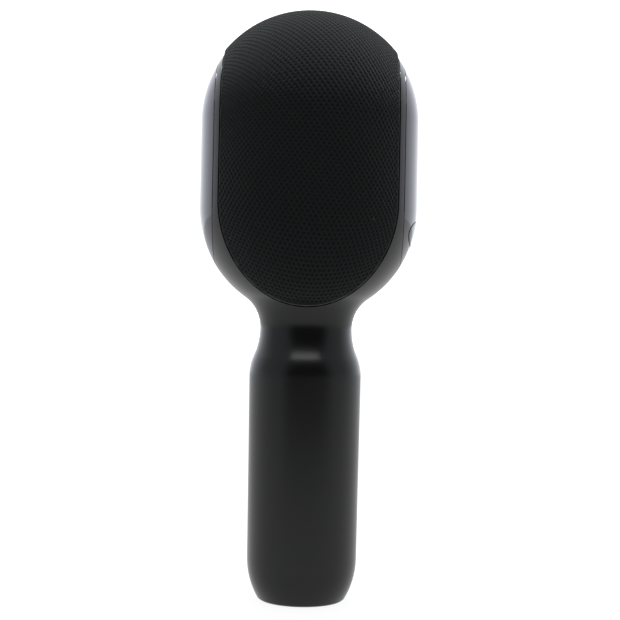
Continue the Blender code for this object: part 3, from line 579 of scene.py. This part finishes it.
def knit_relief(outline_loop):
    """Points of the knit's strands and holes, and how far each is sunk below the cloth's face."""
    across = math.ceil(CLOTH.radius * 1.1 / KNIT_PITCH)
    up = math.ceil(ROW_NUMBER[-1])
    rows, columns = np.mgrid[-up : up + 1, -across : across + 1]
    centres = np.column_stack([(columns + rows % 2 / 2).ravel(), rows.ravel()]).astype(float)
    apart = distances(knit_flat(centres), [outline_loop])
    kept = inside(knit_flat(centres), outline_loop)
    junctions = np.vstack([centres + (0.0, 0.82), centres + (0.0, -0.82)])
    junction_depth = np.abs(random.normal(0.0, 0.02 * MM, len(junctions)))
    holes = centres[kept & (apart > 0.85 * MM)]
    # Each ring of points round a hole: their number, its half width and height, and its depth.
    layers = [(6, 0.36, 0.40, 0.04 * MM), (4, 0.26, 0.28, 0.24 * MM)]
    points = [junctions]
    sunk = [junction_depth]
    size = random.normal(1.0, 0.05, (len(holes), 1))
    for count, reach, rise, depth in layers:
        for turn in math.tau * (np.arange(count) + 0.5) / count:
            offset = np.array([reach * math.cos(turn), rise * math.sin(turn)])
            points.append(holes + size * offset)
            sunk.append(np.full(len(holes), depth))
    flat = knit_flat(np.vstack(points))
    sunk = np.concatenate(sunk)
    near = inside(flat, outline_loop)
    flat, sunk = flat[near], sunk[near]
    clear = distances(flat, [outline_loop]) > 0.3 * MM
    return flat[clear], sunk[clear]


def make_cloth():
    loop = CLOTH.outline()
    roll = 0.9 * MM
    rim = loop + frame_of(CLOTH.place, wound(loop))[3] * roll
    relief = knit_relief(rim)
    made = skin("knitted_cloth", CLOTH.place, [loop], 1.9 * MM, roll, 1.0 * MM, relief, 5, knit_map)
    dressed(made, "body", "grille_cloth", "grille_fabric")
    return made


# ---------------------------------------------------------------- finishes


class Nodes:
    """A node tree, and short ways to add to it."""

    def __init__(self, tree):
        self.tree = tree

    def add(self, kind, links=None, **settings):
        node = self.tree.nodes.new(kind)
        for key, value in settings.items():
            setattr(node, key, value)
        for socket, source in (links or {}).items():
            if isinstance(source, bpy.types.NodeSocket):
                self.tree.links.new(source, node.inputs[socket])
            else:
                node.inputs[socket].default_value = source
        return node

    def math(self, operation, *values, clamp=False):
        node = self.add("ShaderNodeMath", dict(enumerate(values)), operation=operation, use_clamp=clamp)
        return node.outputs[0]

    def span(self, value, from_low, from_high, to_low=0.0, to_high=1.0, smooth=True):
        kind = "SMOOTHSTEP" if smooth else "LINEAR"
        links = {0: value, 1: from_low, 2: from_high, 3: to_low, 4: to_high}
        return self.add("ShaderNodeMapRange", links, interpolation_type=kind).outputs[0]

    def blend(self, share, first, second):
        """A colour between two colours."""
        node = self.add("ShaderNodeMix", data_type="RGBA")
        for number, value in ((0, share), (6, first), (7, second)):
            if isinstance(value, bpy.types.NodeSocket):
                self.tree.links.new(value, node.inputs[number])
            else:
                node.inputs[number].default_value = value if number == 0 else (*value, 1.0)
        return node.outputs[2]


class Finish(Nodes):
    """A procedural material: its shader, and the textures and relief that it is made of."""

    def __init__(self, name, colour, roughness, metallic=0.0, **inputs):
        self.material = bpy.data.materials.new(name)
        self.material.use_nodes = True
        super().__init__(self.material.node_tree)
        self.shader = self.tree.nodes["Principled BSDF"]
        self.shader.inputs["Base Color"].default_value = (*colour, 1.0)
        self.shader.inputs["Roughness"].default_value = roughness
        self.shader.inputs["Metallic"].default_value = metallic
        for socket, value in inputs.items():
            self.shader.inputs[socket.replace("_", " ")].default_value = value
        self.place = self.add("ShaderNodeTexCoord").outputs["Object"]

    def scaled(self, scale, source=None):
        node = self.add("ShaderNodeMapping", {"Vector": source or self.place, "Scale": scale})
        return node.outputs["Vector"]

    def noise(self, scale, detail=3.0, vector=None, rough=0.5):
        links = {"Vector": vector or self.place, "Scale": scale, "Detail": detail, "Roughness": rough}
        return self.add("ShaderNodeTexNoise", links).outputs["Fac"]

    def cells(self, scale, feature="F1", vector=None):
        links = {"Vector": vector or self.place, "Scale": scale}
        return self.add("ShaderNodeTexVoronoi", links, feature=feature).outputs["Distance"]

    def wave(self, scale, direction, distortion=0.0, vector=None):
        links = {"Vector": vector or self.place, "Scale": scale, "Distortion": distortion}
        return self.add("ShaderNodeTexWave", links, bands_direction=direction).outputs["Fac"]

    def colour(self, source):
        self.tree.links.new(source, self.shader.inputs["Base Color"])

    def roughness(self, value, low, high, from_low=0.3, from_high=0.7):
        source = self.span(value, from_low, from_high, low, high, smooth=False)
        self.tree.links.new(source, self.shader.inputs["Roughness"])

    def bump(self, height, distance, strength=1.0):
        """Adds relief of this depth, over any that is there already."""
        node = self.add("ShaderNodeBump", {"Height": height, "Distance": distance, "Strength": strength})
        before = self.shader.inputs["Normal"].links
        if before:
            self.tree.links.new(before[0].from_socket, node.inputs["Normal"])
        self.tree.links.new(node.outputs["Normal"], self.shader.inputs["Normal"])


def satin_plastic():
    """Black moulded plastic with a fine spark-eroded grain and a few rubbed patches."""
    made = Finish("satin_black_plastic", (0.003, 0.0031, 0.0031), 0.25, IOR=1.38)
    grain = made.noise(5200, 2.0)
    rubbed = made.noise(38, 4.0)
    made.colour(made.blend(rubbed, (0.0024, 0.0025, 0.0025), (0.0036, 0.0037, 0.0036)))
    made.roughness(made.math("ADD", rubbed, made.math("MULTIPLY", grain, 0.25)), 0.21, 0.28, 0.35, 0.9)
    made.bump(grain, 0.004 * MM)
    made.bump(made.noise(900, 3.0), 0.006 * MM)
    return made.material


def gloss_panel():
    """Smoked glossy plastic, very slightly blue, with hairline scratches and a little dust."""
    made = Finish("smoked_gloss_panel", (0.006, 0.006, 0.008), 0.08, IOR=1.53)
    made.shader.inputs["Specular Tint"].default_value = (0.92, 0.9, 1.0, 1.0)
    smear = made.noise(26, 5.0, rough=0.6)
    scratches = made.noise(420, 2.0, made.scaled((0.08, 1.0, 1.6)))
    dust = made.span(made.cells(1500), 0.03, 0.09, 1.0, 0.0)
    made.colour(made.blend(made.math("MULTIPLY", dust, 0.05), (0.006, 0.0063, 0.0115), (0.25, 0.25, 0.26)))
    made.roughness(made.math("ADD", smear, made.math("MULTIPLY", dust, 0.3)), 0.06, 0.15, 0.3, 1.0)
    made.bump(scratches, 0.0006 * MM)
    return made.material


def control_gloss():
    """Piano-black inlay with fingerprints and fine scratches."""
    made = Finish("piano_black_inlay", (0.006, 0.006, 0.0065), 0.1)
    prints = made.noise(90, 6.0, rough=0.7)
    scratches = made.noise(700, 2.0, made.scaled((0.15, 1.0, 1.0)))
    made.colour(made.blend(prints, (0.005, 0.005, 0.0055), (0.009, 0.009, 0.0095)))
    made.roughness(prints, 0.07, 0.2)
    made.bump(scratches, 0.0005 * MM)
    return made.material


def key_plastic():
    """Soft-touch key caps, finely grained and polished where fingers rest."""
    made = Finish("soft_touch_key", (0.014, 0.014, 0.0142), 0.5)
    blend_mask = made.noise(260, 4.0)
    made.colour(made.blend(blend_mask, (0.011, 0.011, 0.0112), (0.019, 0.019, 0.0192)))
    made.roughness(blend_mask, 0.42, 0.62)
    made.bump(made.noise(6500, 1.0), 0.004 * MM)
    return made.material


def key_print():
    """Pale screen-printed ink on the keys, slightly speckled."""
    made = Finish("key_symbol_ink", (0.5, 0.5, 0.5), 0.6)
    speckle = made.noise(4200, 3.0)
    made.colour(made.blend(speckle, (0.42, 0.42, 0.43), (0.62, 0.62, 0.61)))
    made.roughness(speckle, 0.5, 0.7)
    made.bump(speckle, 0.004 * MM)
    return made.material


def knit_cloth():
    """Black warp knit: soft strands of twisted yarn round staggered holes painted dark as shade, and a
    little lint.
    """
    made = Finish("black_knit", (0.008, 0.0085, 0.0085), 0.9, IOR=1.4)
    made.shader.inputs["Specular IOR Level"].default_value = 0.1
    made.shader.inputs["Sheen Weight"].default_value = 0.12
    made.shader.inputs["Sheen Roughness"].default_value = 0.45
    made.shader.inputs["Sheen Tint"].default_value = (0.8, 0.85, 0.85, 1.0)
    knit = made.add("ShaderNodeUVMap", uv_map="knit").outputs["UV"]
    parts = made.add("ShaderNodeSeparateXYZ", {0: knit})
    column = made.math("COSINE", made.math("MULTIPLY", parts.outputs["X"], math.tau))
    row = made.math("COSINE", made.math("MULTIPLY", parts.outputs["Y"], math.pi))
    ribs = made.math("COSINE", made.math("MULTIPLY", parts.outputs["Y"], math.tau))
    flatness = made.math("MULTIPLY", made.math("SUBTRACT", ribs, 1.0), 0.45)
    hole = made.math("ADD", made.math("MULTIPLY", column, row), flatness)
    strand = made.span(hole, -0.7, 0.6, 1.0, 0.0)
    fibre = made.noise(9, 4.0, made.scaled((2.2, 1.1, 1.0), knit), 0.7)
    twist = made.wave(2.4, "DIAGONAL", 3.0, made.scaled((2.0, 1.4, 1.0), knit))
    shade = made.math("MULTIPLY", strand, made.span(fibre, 0.25, 0.8, 0.7, 1.3))
    patch = made.span(made.noise(60, 3.0), 0.3, 0.7, 0.9, 1.1)
    blend_mask = made.math("MULTIPLY", shade, patch)
    # Darker in the holes than on the strands: painted shade. The fibre and patch noise vary the tone at
    # random.
    knit_colour_with_hole_shade = made.blend(blend_mask, (0.003, 0.0034, 0.0034), (0.0082, 0.0094, 0.0094))
    lint = made.span(made.noise(330, 1.0, made.scaled((1.0, 1.0, 0.55))), 0.79, 0.815)
    made.colour(made.blend(made.math("MULTIPLY", lint, strand), knit_colour_with_hole_shade, (0.03, 0.031, 0.03)))
    made.roughness(fibre, 0.8, 1.0)
    made.bump(strand, 0.05 * MM)
    made.bump(made.math("ADD", fibre, made.math("MULTIPLY", twist, 0.5)), 0.05 * MM)
    return made.material


def moulded_frame():
    """Dark moulded frame plastic with faint flow lines."""
    made = Finish("moulded_frame", (0.016, 0.016, 0.0165), 0.6)
    flow = made.noise(70, 3.0, made.scaled((1.0, 1.0, 0.25)))
    made.colour(made.blend(flow, (0.012, 0.012, 0.0125), (0.022, 0.022, 0.0225)))
    made.roughness(flow, 0.5, 0.68)
    made.bump(made.noise(3200, 2.0), 0.006 * MM)
    made.bump(flow, 0.02 * MM)
    return made.material


def rubber():
    """Matt rubber with fine pits and a dusty bloom."""
    made = Finish("matt_rubber", (0.013, 0.013, 0.013), 0.85)
    bloom = made.noise(120, 5.0, rough=0.65)
    made.colour(made.blend(bloom, (0.010, 0.010, 0.010), (0.026, 0.026, 0.025)))
    made.roughness(bloom, 0.75, 0.95)
    made.bump(made.cells(2600), 0.012 * MM)
    return made.material


def foam():
    """Open-cell foam: thin struts, with painted shade darkening the pores between them."""
    made = Finish("open_foam", (0.02, 0.02, 0.021), 0.95)
    pores = made.cells(1400, "DISTANCE_TO_EDGE")
    struts = made.span(pores, 0.02, 0.16, 1.0, 0.0)
    # Darker in the pores: painted shade.
    made.colour(made.blend(struts, (0.004, 0.004, 0.0045), (0.035, 0.035, 0.036)))
    made.roughness(made.noise(700), 0.85, 1.0)
    made.bump(struts, 0.2 * MM)
    return made.material


def cone_paper():
    """Pressed paper pulp with long dark fibres."""
    made = Finish("pressed_paper", (0.028, 0.026, 0.024), 0.9)
    fibres = made.noise(1100, 4.0, made.scaled((1.0, 0.3, 0.22)), 0.7)
    made.colour(made.blend(fibres, (0.016, 0.015, 0.014), (0.055, 0.050, 0.044)))
    made.roughness(fibres, 0.8, 0.98)
    made.bump(fibres, 0.06 * MM)
    return made.material


def spider_cloth():
    """Resin-dipped woven cloth of the spider."""
    made = Finish("resin_dipped_weave", (0.42, 0.26, 0.10), 0.8)
    warp = made.wave(900, "X")
    weft = made.wave(900, "Z")
    weave = made.math("MULTIPLY", warp, weft)
    resin = made.noise(240, 4.0)
    dark = made.blend(weave, (0.22, 0.12, 0.04), (0.5, 0.32, 0.13))
    made.colour(made.blend(made.math("MULTIPLY", resin, 0.5), dark, (0.35, 0.18, 0.05)))
    made.roughness(resin, 0.6, 0.9)
    made.bump(weave, 0.08 * MM)
    return made.material


def brushed_steel():
    """Stamped steel with a fine brushed grain."""
    made = Finish("stamped_steel", (0.5, 0.5, 0.51), 0.35, 1.0)
    grain = made.noise(1800, 3.0, made.scaled((0.05, 1.0, 1.0)))
    stain = made.noise(130, 4.0)
    made.colour(made.blend(stain, (0.42, 0.42, 0.43), (0.6, 0.6, 0.6)))
    made.roughness(made.math("ADD", grain, made.math("MULTIPLY", stain, 0.5)), 0.24, 0.5, 0.4, 1.1)
    made.bump(grain, 0.004 * MM)
    return made.material


def zinc_plate():
    """Zinc-plated screws with a mottled passivated film."""
    made = Finish("zinc_plate", (0.45, 0.46, 0.48), 0.4, 1.0)
    film = made.noise(900, 4.0, rough=0.6)
    made.colour(made.blend(film, (0.36, 0.38, 0.42), (0.56, 0.55, 0.50)))
    made.roughness(film, 0.3, 0.52)
    made.bump(made.noise(5000, 2.0), 0.003 * MM)
    return made.material


def copper_windings():
    """Enamelled copper wire in close windings, painted darker between the turns as shade."""
    made = Finish("copper_windings", (0.6, 0.24, 0.09), 0.35, 1.0)
    turns = made.wave(1500, "Y")
    # Darker in the grooves between the turns: painted shade.
    made.colour(made.blend(turns, (0.20, 0.06, 0.02), (0.72, 0.30, 0.12)))
    made.roughness(made.noise(1500), 0.25, 0.45)
    made.bump(turns, 0.06 * MM)
    return made.material


def ferrite():
    """Sintered ferrite: grey-black, grainy, with small bright chips."""
    made = Finish("sintered_ferrite", (0.045, 0.045, 0.047), 0.7)
    grain = made.noise(2600, 5.0, rough=0.7)
    chips = made.span(made.cells(600), 0.05, 0.12, 1.0, 0.0)
    base = made.blend(grain, (0.03, 0.03, 0.032), (0.065, 0.065, 0.068))
    made.colour(made.blend(made.math("MULTIPLY", chips, 0.5), base, (0.16, 0.16, 0.17)))
    made.roughness(grain, 0.55, 0.85)
    made.bump(grain, 0.02 * MM)
    return made.material


def circuit_board():
    """Green solder mask over copper tracks, with tinned pads."""
    made = Finish("circuit_board", (0.01, 0.08, 0.035), 0.35)
    straight = made.add("ShaderNodeTexBrick", {"Vector": made.scaled((1.0, 1.0, 1.0)), "Scale": 260.0})
    tracks = made.span(made.wave(330, "X", 6.0), 0.46, 0.54)
    mask = made.blend(tracks, (0.006, 0.055, 0.024), (0.016, 0.12, 0.05))
    pads = made.span(made.cells(420), 0.10, 0.16, 1.0, 0.0)
    made.colour(made.blend(pads, mask, (0.5, 0.5, 0.47)))
    made.roughness(made.math("ADD", pads, straight.outputs["Fac"]), 0.25, 0.45, 0.0, 1.5)
    made.bump(tracks, 0.03 * MM)
    made.bump(pads, 0.04 * MM)
    return made.material


def milky_diffuser():
    """Milky light-guide plastic, slightly uneven."""
    made = Finish("milky_diffuser", (0.72, 0.73, 0.75), 0.45)
    cloudy = made.noise(180, 4.0)
    made.colour(made.blend(cloudy, (0.62, 0.63, 0.66), (0.8, 0.81, 0.82)))
    made.roughness(cloudy, 0.35, 0.6)
    made.bump(made.noise(2400, 2.0), 0.008 * MM)
    return made.material


def battery_sleeve():
    """Heat-shrunk sleeve with faint draw wrinkles."""
    made = Finish("battery_sleeve", (0.02, 0.11, 0.27), 0.3)
    wrinkles = made.noise(300, 4.0, made.scaled((1.0, 1.0, 0.12)))
    made.colour(made.blend(wrinkles, (0.015, 0.085, 0.22), (0.03, 0.14, 0.33)))
    made.roughness(made.noise(60), 0.22, 0.4)
    made.bump(wrinkles, 0.05 * MM)
    return made.material


def cable_jacket():
    """Drawn cable jacket with fine lengthwise lines."""
    made = Finish("cable_jacket", (0.017, 0.017, 0.017), 0.6)
    lines = made.noise(2200, 2.0, made.scaled((1.0, 1.0, 0.04)))
    made.colour(made.blend(lines, (0.012, 0.012, 0.012), (0.024, 0.024, 0.024)))
    made.roughness(lines, 0.5, 0.7)
    made.bump(lines, 0.01 * MM)
    return made.material


FINISHES = {
    "shell_black": satin_plastic(),
    "panel_gloss": gloss_panel(),
    "control_gloss": control_gloss(),
    "key_black": key_plastic(),
    "grille_cloth": knit_cloth(),
    "frame_plastic": moulded_frame(),
    "rubber": rubber(),
    "foam": foam(),
    "paper": cone_paper(),
    "spider_cloth": spider_cloth(),
    "steel": brushed_steel(),
    "zinc_steel": zinc_plate(),
    "copper_coil": copper_windings(),
    "ferrite": ferrite(),
    "circuit_board": circuit_board(),
    "diffuser": milky_diffuser(),
    "battery_wrap": battery_sleeve(),
    "cable_jacket": cable_jacket(),
}
KEY_PRINT = key_print()


def dressed(made, body, finish, *nodes, material=None):
    """Gives a piece its finish and its body, in place of these CAD nodes."""
    made.data.materials.append(material or FINISHES[finish])
    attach(made, body)
    if nodes:
        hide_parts(*nodes)
    return made


def finish_frame():
    """Gives every CAD node the procedural finish of the slot that its packed material is named for."""
    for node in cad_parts.values():
        for holder in node.material_slots:
            holder.material = FINISHES[holder.material.name.split(".")[0]]


# ---------------------------------------------------------------- keys and control panel


CONTROL_LOW, CONTROL_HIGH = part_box("control_panel")
CONTROL_MIDDLE = (CONTROL_LOW.z + CONTROL_HIGH.z) / 2
CONTROL_HALF = (CONTROL_HIGH.x, (CONTROL_HIGH.z - CONTROL_LOW.z) / 2)
KEY_GAP = 0.3 * MM
KEY_LIP = 0.6 * MM
KEY_PROUD = 0.5 * MM
KEYS = ("power", "volume_down", "volume_up", "play", "echo_down", "echo_up", "voice")


def key_shape(key):
    """A key's middle and half sizes as seen from the front, without its hidden lip."""
    low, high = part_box(key + "_button")
    half_x = (high.x - low.x) / 2 - KEY_LIP
    half_z = (high.z - low.z) / 2 - KEY_LIP
    return (low.x + high.x) / 2, (low.z + high.z) / 2, half_x, half_z


def make_control_panel():
    surface = Turned(-0.1 * MM)
    lens_low, lens_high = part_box("indicator_lens")
    openings = [slot(0.0, CONTROL_MIDDLE, *CONTROL_HALF, 60)]
    for key in KEYS:
        x, z, half_x, half_z = key_shape(key)
        openings.append(slot(x, z, half_x + KEY_GAP, half_z + KEY_GAP))
    openings.append(circle(0.0, (lens_low.z + lens_high.z) / 2, 1.3 * MM))
    loops = [drawn(surface, shape, FRONT, 0.35 * MM) for shape in openings]
    made = skin("control_inlay", surface.place, loops, 2.0 * MM, 0.2 * MM, 0.9 * MM)
    return dressed(made, "body", "control_gloss", "control_panel")


def make_keys():
    surface = Turned(KEY_PROUD)
    for key in KEYS:
        loop = drawn(surface, slot(*key_shape(key)), FRONT, 0.3 * MM)
        made = skin(key + "_key_cap", surface.place, [loop], 2.2 * MM, 0.5 * MM, 0.7 * MM)
        dressed(made, key + "_button_body", "key_black", key + "_button")


def corners(x, z, *offsets):
    """A closed drawing through these corners, given in millimetres to the user's right and up."""
    right, up = np.array(offsets).T * MM
    return x - right, z + up


def power_marks(x, z):
    """A ring with a gap at the top, and a bar in the gap."""
    turn = math.pi / 2 + np.linspace(0.6, math.tau - 0.6, 60)
    outer, inner = 1.7 * MM, 1.25 * MM
    across = np.concatenate([outer * np.cos(turn), inner * np.cos(turn[::-1])])
    up = np.concatenate([outer * np.sin(turn), inner * np.sin(turn[::-1])])
    return {"ring": [(x + across, z + up)], "bar": [slot(x, z + 1.1 * MM, 0.23 * MM, 0.95 * MM, 8)]}


def key_marks():
    """The plain marks on each key, as outlines followed by their holes."""
    middle = {key: key_shape(key)[:2] for key in KEYS}
    minus = ((-1.6, -0.25), (1.6, -0.25), (1.6, 0.25), (-1.6, 0.25))
    arm = ((0.25, 0.25), (0.25, 1.6), (-0.25, 1.6))
    quarters = ((1, 0), (0, 1), (-1, 0), (0, -1))
    plus = [(c * a - s * b, s * a + c * b) for c, s in quarters for a, b in arm]
    play = ((-1.1, -1.5), (1.6, 0.0), (-1.1, 1.5))
    falling = ((-1.5, 0.8), (0.0, -1.2), (1.5, 0.8))
    rising = ((-1.5, -0.8), (1.5, -0.8), (0.0, 1.2))
    return {
        "power": power_marks(*middle["power"]),
        "volume_down": {"minus": [corners(*middle["volume_down"], *minus)]},
        "volume_up": {"plus": [corners(*middle["volume_up"], *plus)]},
        "play": {"arrow": [corners(*middle["play"], *play)]},
        "echo_down": {"falling": [corners(*middle["echo_down"], *falling)]},
        "echo_up": {"rising": [corners(*middle["echo_up"], *rising)]},
        "voice": {"ring": [circle(*middle["voice"], 1.6 * MM), circle(*middle["voice"], 1.1 * MM)]},
    }


def make_key_marks():
    """Thin printed marks, each of which rides on its key."""
    surface = Turned(KEY_PROUD + 0.03 * MM)
    for key, marks in key_marks().items():
        for mark, shapes in marks.items():
            loops = [drawn(surface, shape, FRONT, 0.12 * MM) for shape in shapes]
            made = skin(f"{key}_{mark}_mark", surface.place, loops, 0.06 * MM, 0.02 * MM, 0.4 * MM)
            dressed(made, key + "_button_body", "key_black", material=KEY_PRINT)


# ---------------------------------------------------------------- soft parts


def turned_piece(name, profile, roughness, count=200):
    """A closed turned piece from (r, z) points that start and end on the axis, with an uneven face."""
    radius, height = profile.T
    sunk = np.abs(random.normal(0.0, roughness, (len(profile), count)))
    turn = np.linspace(0.0, math.tau, count, endpoint=False)
    middle = height.mean()
    up = height[:, None] + np.clip(middle - height[:, None], -sunk, sunk)
    rings = np.stack([np.outer(radius, np.cos(turn)), np.outer(radius, np.sin(turn)), up], axis=2)
    points = np.vstack([rings[1:-1].reshape(-1, 3), (0.0, 0.0, height[0]), (0.0, 0.0, height[-1])])
    last = len(profile) - 3
    foot, crown = len(points) - 2, len(points) - 1
    faces = []
    for i in range(count):
        j = (i + 1) % count
        faces.append((foot, j, i))
        faces.append((crown, last * count + i, last * count + j))
        for ring in range(last):
            low, high = ring * count, (ring + 1) * count
            faces.append((low + i, low + j, high + j, high + i))
    return object_of(name, points, faces)


def make_foam_pad():
    """Foam over the capsule: a shallow cushion with a rounded rim, crowned to fit the grille."""
    low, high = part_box("capsule_foam")
    rim = 0.5 * MM
    radius = np.linspace(0.0, high.x - rim, 40)
    under = np.column_stack([radius, np.full(40, low.z)])
    curve = high.z - CROWN_Z
    over = np.column_stack([radius, CROWN_Z + np.sqrt(curve**2 - radius**2)])[::-1]
    edge = high.x - rim / 3
    side = [(edge, low.z + rim / 3), (high.x, low.z + rim), (edge, low.z + 1.6 * rim)]
    made = turned_piece("capsule_foam_pad", np.vstack([under, side, over]), 0.12 * MM)
    return dressed(made, "body", "foam", "capsule_foam")


def make_foot():
    """The rubber foot: a disc with ring grooves in its underside and a softened edge."""
    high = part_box("base_pad")[1]
    radius = np.linspace(0.0, high.x - 0.4 * MM, 90)
    grooves = np.maximum(np.cos(radius / (1.3 * MM)), 0.0) * (radius > 3 * MM)
    under = np.column_stack([radius, 0.35 * MM * grooves])
    under[-8:, 1] = 0.0
    side = np.array([(high.x - 0.1 * MM, 0.1 * MM), (high.x, 0.4 * MM), (high.x, high.z - 0.2 * MM)])
    over = np.array([(high.x - 0.2 * MM, high.z), (0.0, high.z)])
    made = turned_piece("rubber_foot", np.vstack([under, side, over]), 0.004 * MM)
    return dressed(made, "body", "rubber", "base_pad")


# ---------------------------------------------------------------- stage


def make_floor():
    """A plain white floor that glows, as painted light. What the microphone reflects of it is dimmer to
    the front.
    """
    mesh = bpy.data.meshes.new("floor")
    half = 6.0
    near = -0.95
    square = [(-half, near, 0.0), (half, near, 0.0), (half, half, 0.0), (-half, half, 0.0)]
    mesh.from_pydata(square, [], [(0, 1, 2, 3)])
    floor = bpy.data.objects.new("floor", mesh)
    bpy.context.scene.collection.objects.link(floor)
    made = Finish("white_floor", (0.1, 0.1, 0.1), 0.9)
    made.shader.inputs["Specular IOR Level"].default_value = 0.1
    made.shader.inputs["Emission Color"].default_value = (1.0, 1.0, 1.0, 1.0)
    place = made.add("ShaderNodeSeparateXYZ", {0: made.place})
    # Painted light: the floor's glow lights the microphone and is dimmer to the front; to the camera it is
    # evenly white.
    reflected_glow = made.span(place.outputs["Y"], -0.6, 0.0, 0.66, 0.82)
    seen = made.add("ShaderNodeLightPath").outputs["Is Camera Ray"]
    glow = made.math("MAXIMUM", reflected_glow, made.math("MULTIPLY", seen, 0.92))
    made.tree.links.new(glow, made.shader.inputs["Emission Strength"])
    mesh.materials.append(made.material)


def make_world():
    """The room: dark on the camera's side, grey beside, brighter behind, and white to the camera."""
    world = bpy.data.worlds.new("studio")
    bpy.context.scene.world = world
    world.use_nodes = True
    world.node_tree.nodes.clear()
    made = Nodes(world.node_tree)
    direction = made.add("ShaderNodeTexCoord").outputs["Generated"]
    ahead = (-0.09, 0.996, 0.0)
    facing = made.add("ShaderNodeVectorMath", {0: direction, 1: ahead}, operation="DOT_PRODUCT")
    parts = made.add("ShaderNodeSeparateXYZ", {0: direction})
    front = made.span(facing.outputs["Value"], -0.86, -0.5, 0.03, 0.66)
    behind = made.span(parts.outputs["Y"], 0.05, 0.95, 1.0, 2.75, smooth=False)
    seen = made.add("ShaderNodeLightPath").outputs["Is Camera Ray"]
    level = made.math("MAXIMUM", seen, made.math("MULTIPLY", front, behind))
    cast = made.blend(seen, (0.94, 0.97, 1.04), (1.0, 1.0, 1.0))
    shade = made.add("ShaderNodeBackground", {"Color": cast, "Strength": level})
    made.add("ShaderNodeOutputWorld", {"Surface": shade.outputs[0]})


def softbox(name, elevation, distance, size, radiance):
    """A lamp that faces the neck from this many degrees up, on the camera's side until it passes 90."""
    light = bpy.data.lights.new(name, "AREA")
    light.shape = "ELLIPSE"
    light.size, light.size_y = size
    light.energy = radiance * size[0] * size[1] * math.pi
    lamp = bpy.data.objects.new(name, light)
    target = Vector((0.0, 0.0, WAIST_Z))
    rise = math.radians(elevation)
    place = target + distance * Vector((0.0, -math.cos(rise), math.sin(rise)))
    lamp.location = place
    lamp.visible_camera = False
    lamp.rotation_mode = "QUATERNION"
    lamp.rotation_quaternion = (target - place).to_track_quat("-Z", "Y")
    bpy.context.scene.collection.objects.link(lamp)


def make_camera():
    """Level with the neck, half a metre behind the rear face, leaning a degree to one side."""
    eye = Vector((1.5 * MM, -520 * MM, 111 * MM))
    target = Vector((1.5 * MM, 0.0, 119.4 * MM))
    camera = bpy.data.cameras.new("camera")
    camera.sensor_width = 36.0
    camera.lens = 72.9
    holder = bpy.data.objects.new("camera", camera)
    bpy.context.scene.collection.objects.link(holder)
    lean = Matrix.Rotation(math.radians(1.14), 4, "Z")
    aim = (target - eye).to_track_quat("-Z", "Y").to_matrix().to_4x4()
    holder.matrix_world = Matrix.Translation(eye) @ aim @ lean
    bpy.context.scene.camera = holder


def main():
    finish_frame()
    make_half_shell("rear_shell", REAR)
    socket_low, socket_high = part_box("usb_socket")
    jack_low, jack_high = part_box("headphone_jack")
    front_holes = [
        slot(0.0, CONTROL_MIDDLE, CONTROL_HALF[0] + KEY_GAP, CONTROL_HALF[1] + KEY_GAP, 60),
        slot(0.0, (socket_low.z + socket_high.z) / 2, 4.9 * MM, 2.0 * MM),
        circle(0.0, (jack_low.z + jack_high.z) / 2, 2.8 * MM),
    ]
    make_half_shell("front_shell", FRONT, front_holes)
    make_side_panel("left_side_panel", -1)
    make_side_panel("right_side_panel", 1)
    make_light_key()
    make_cloth()
    make_control_panel()
    make_keys()
    make_key_marks()
    make_foam_pad()
    make_foot()
    make_floor()
    make_world()
    softbox("key_softbox", 45.5, 1.0, (1.05, 0.28), 3.1)
    softbox("top_softbox", 92, 1.2, (0.3, 0.3), 65.0)
    make_camera()
    bpy.context.scene.view_settings.view_transform = "Standard"


main()
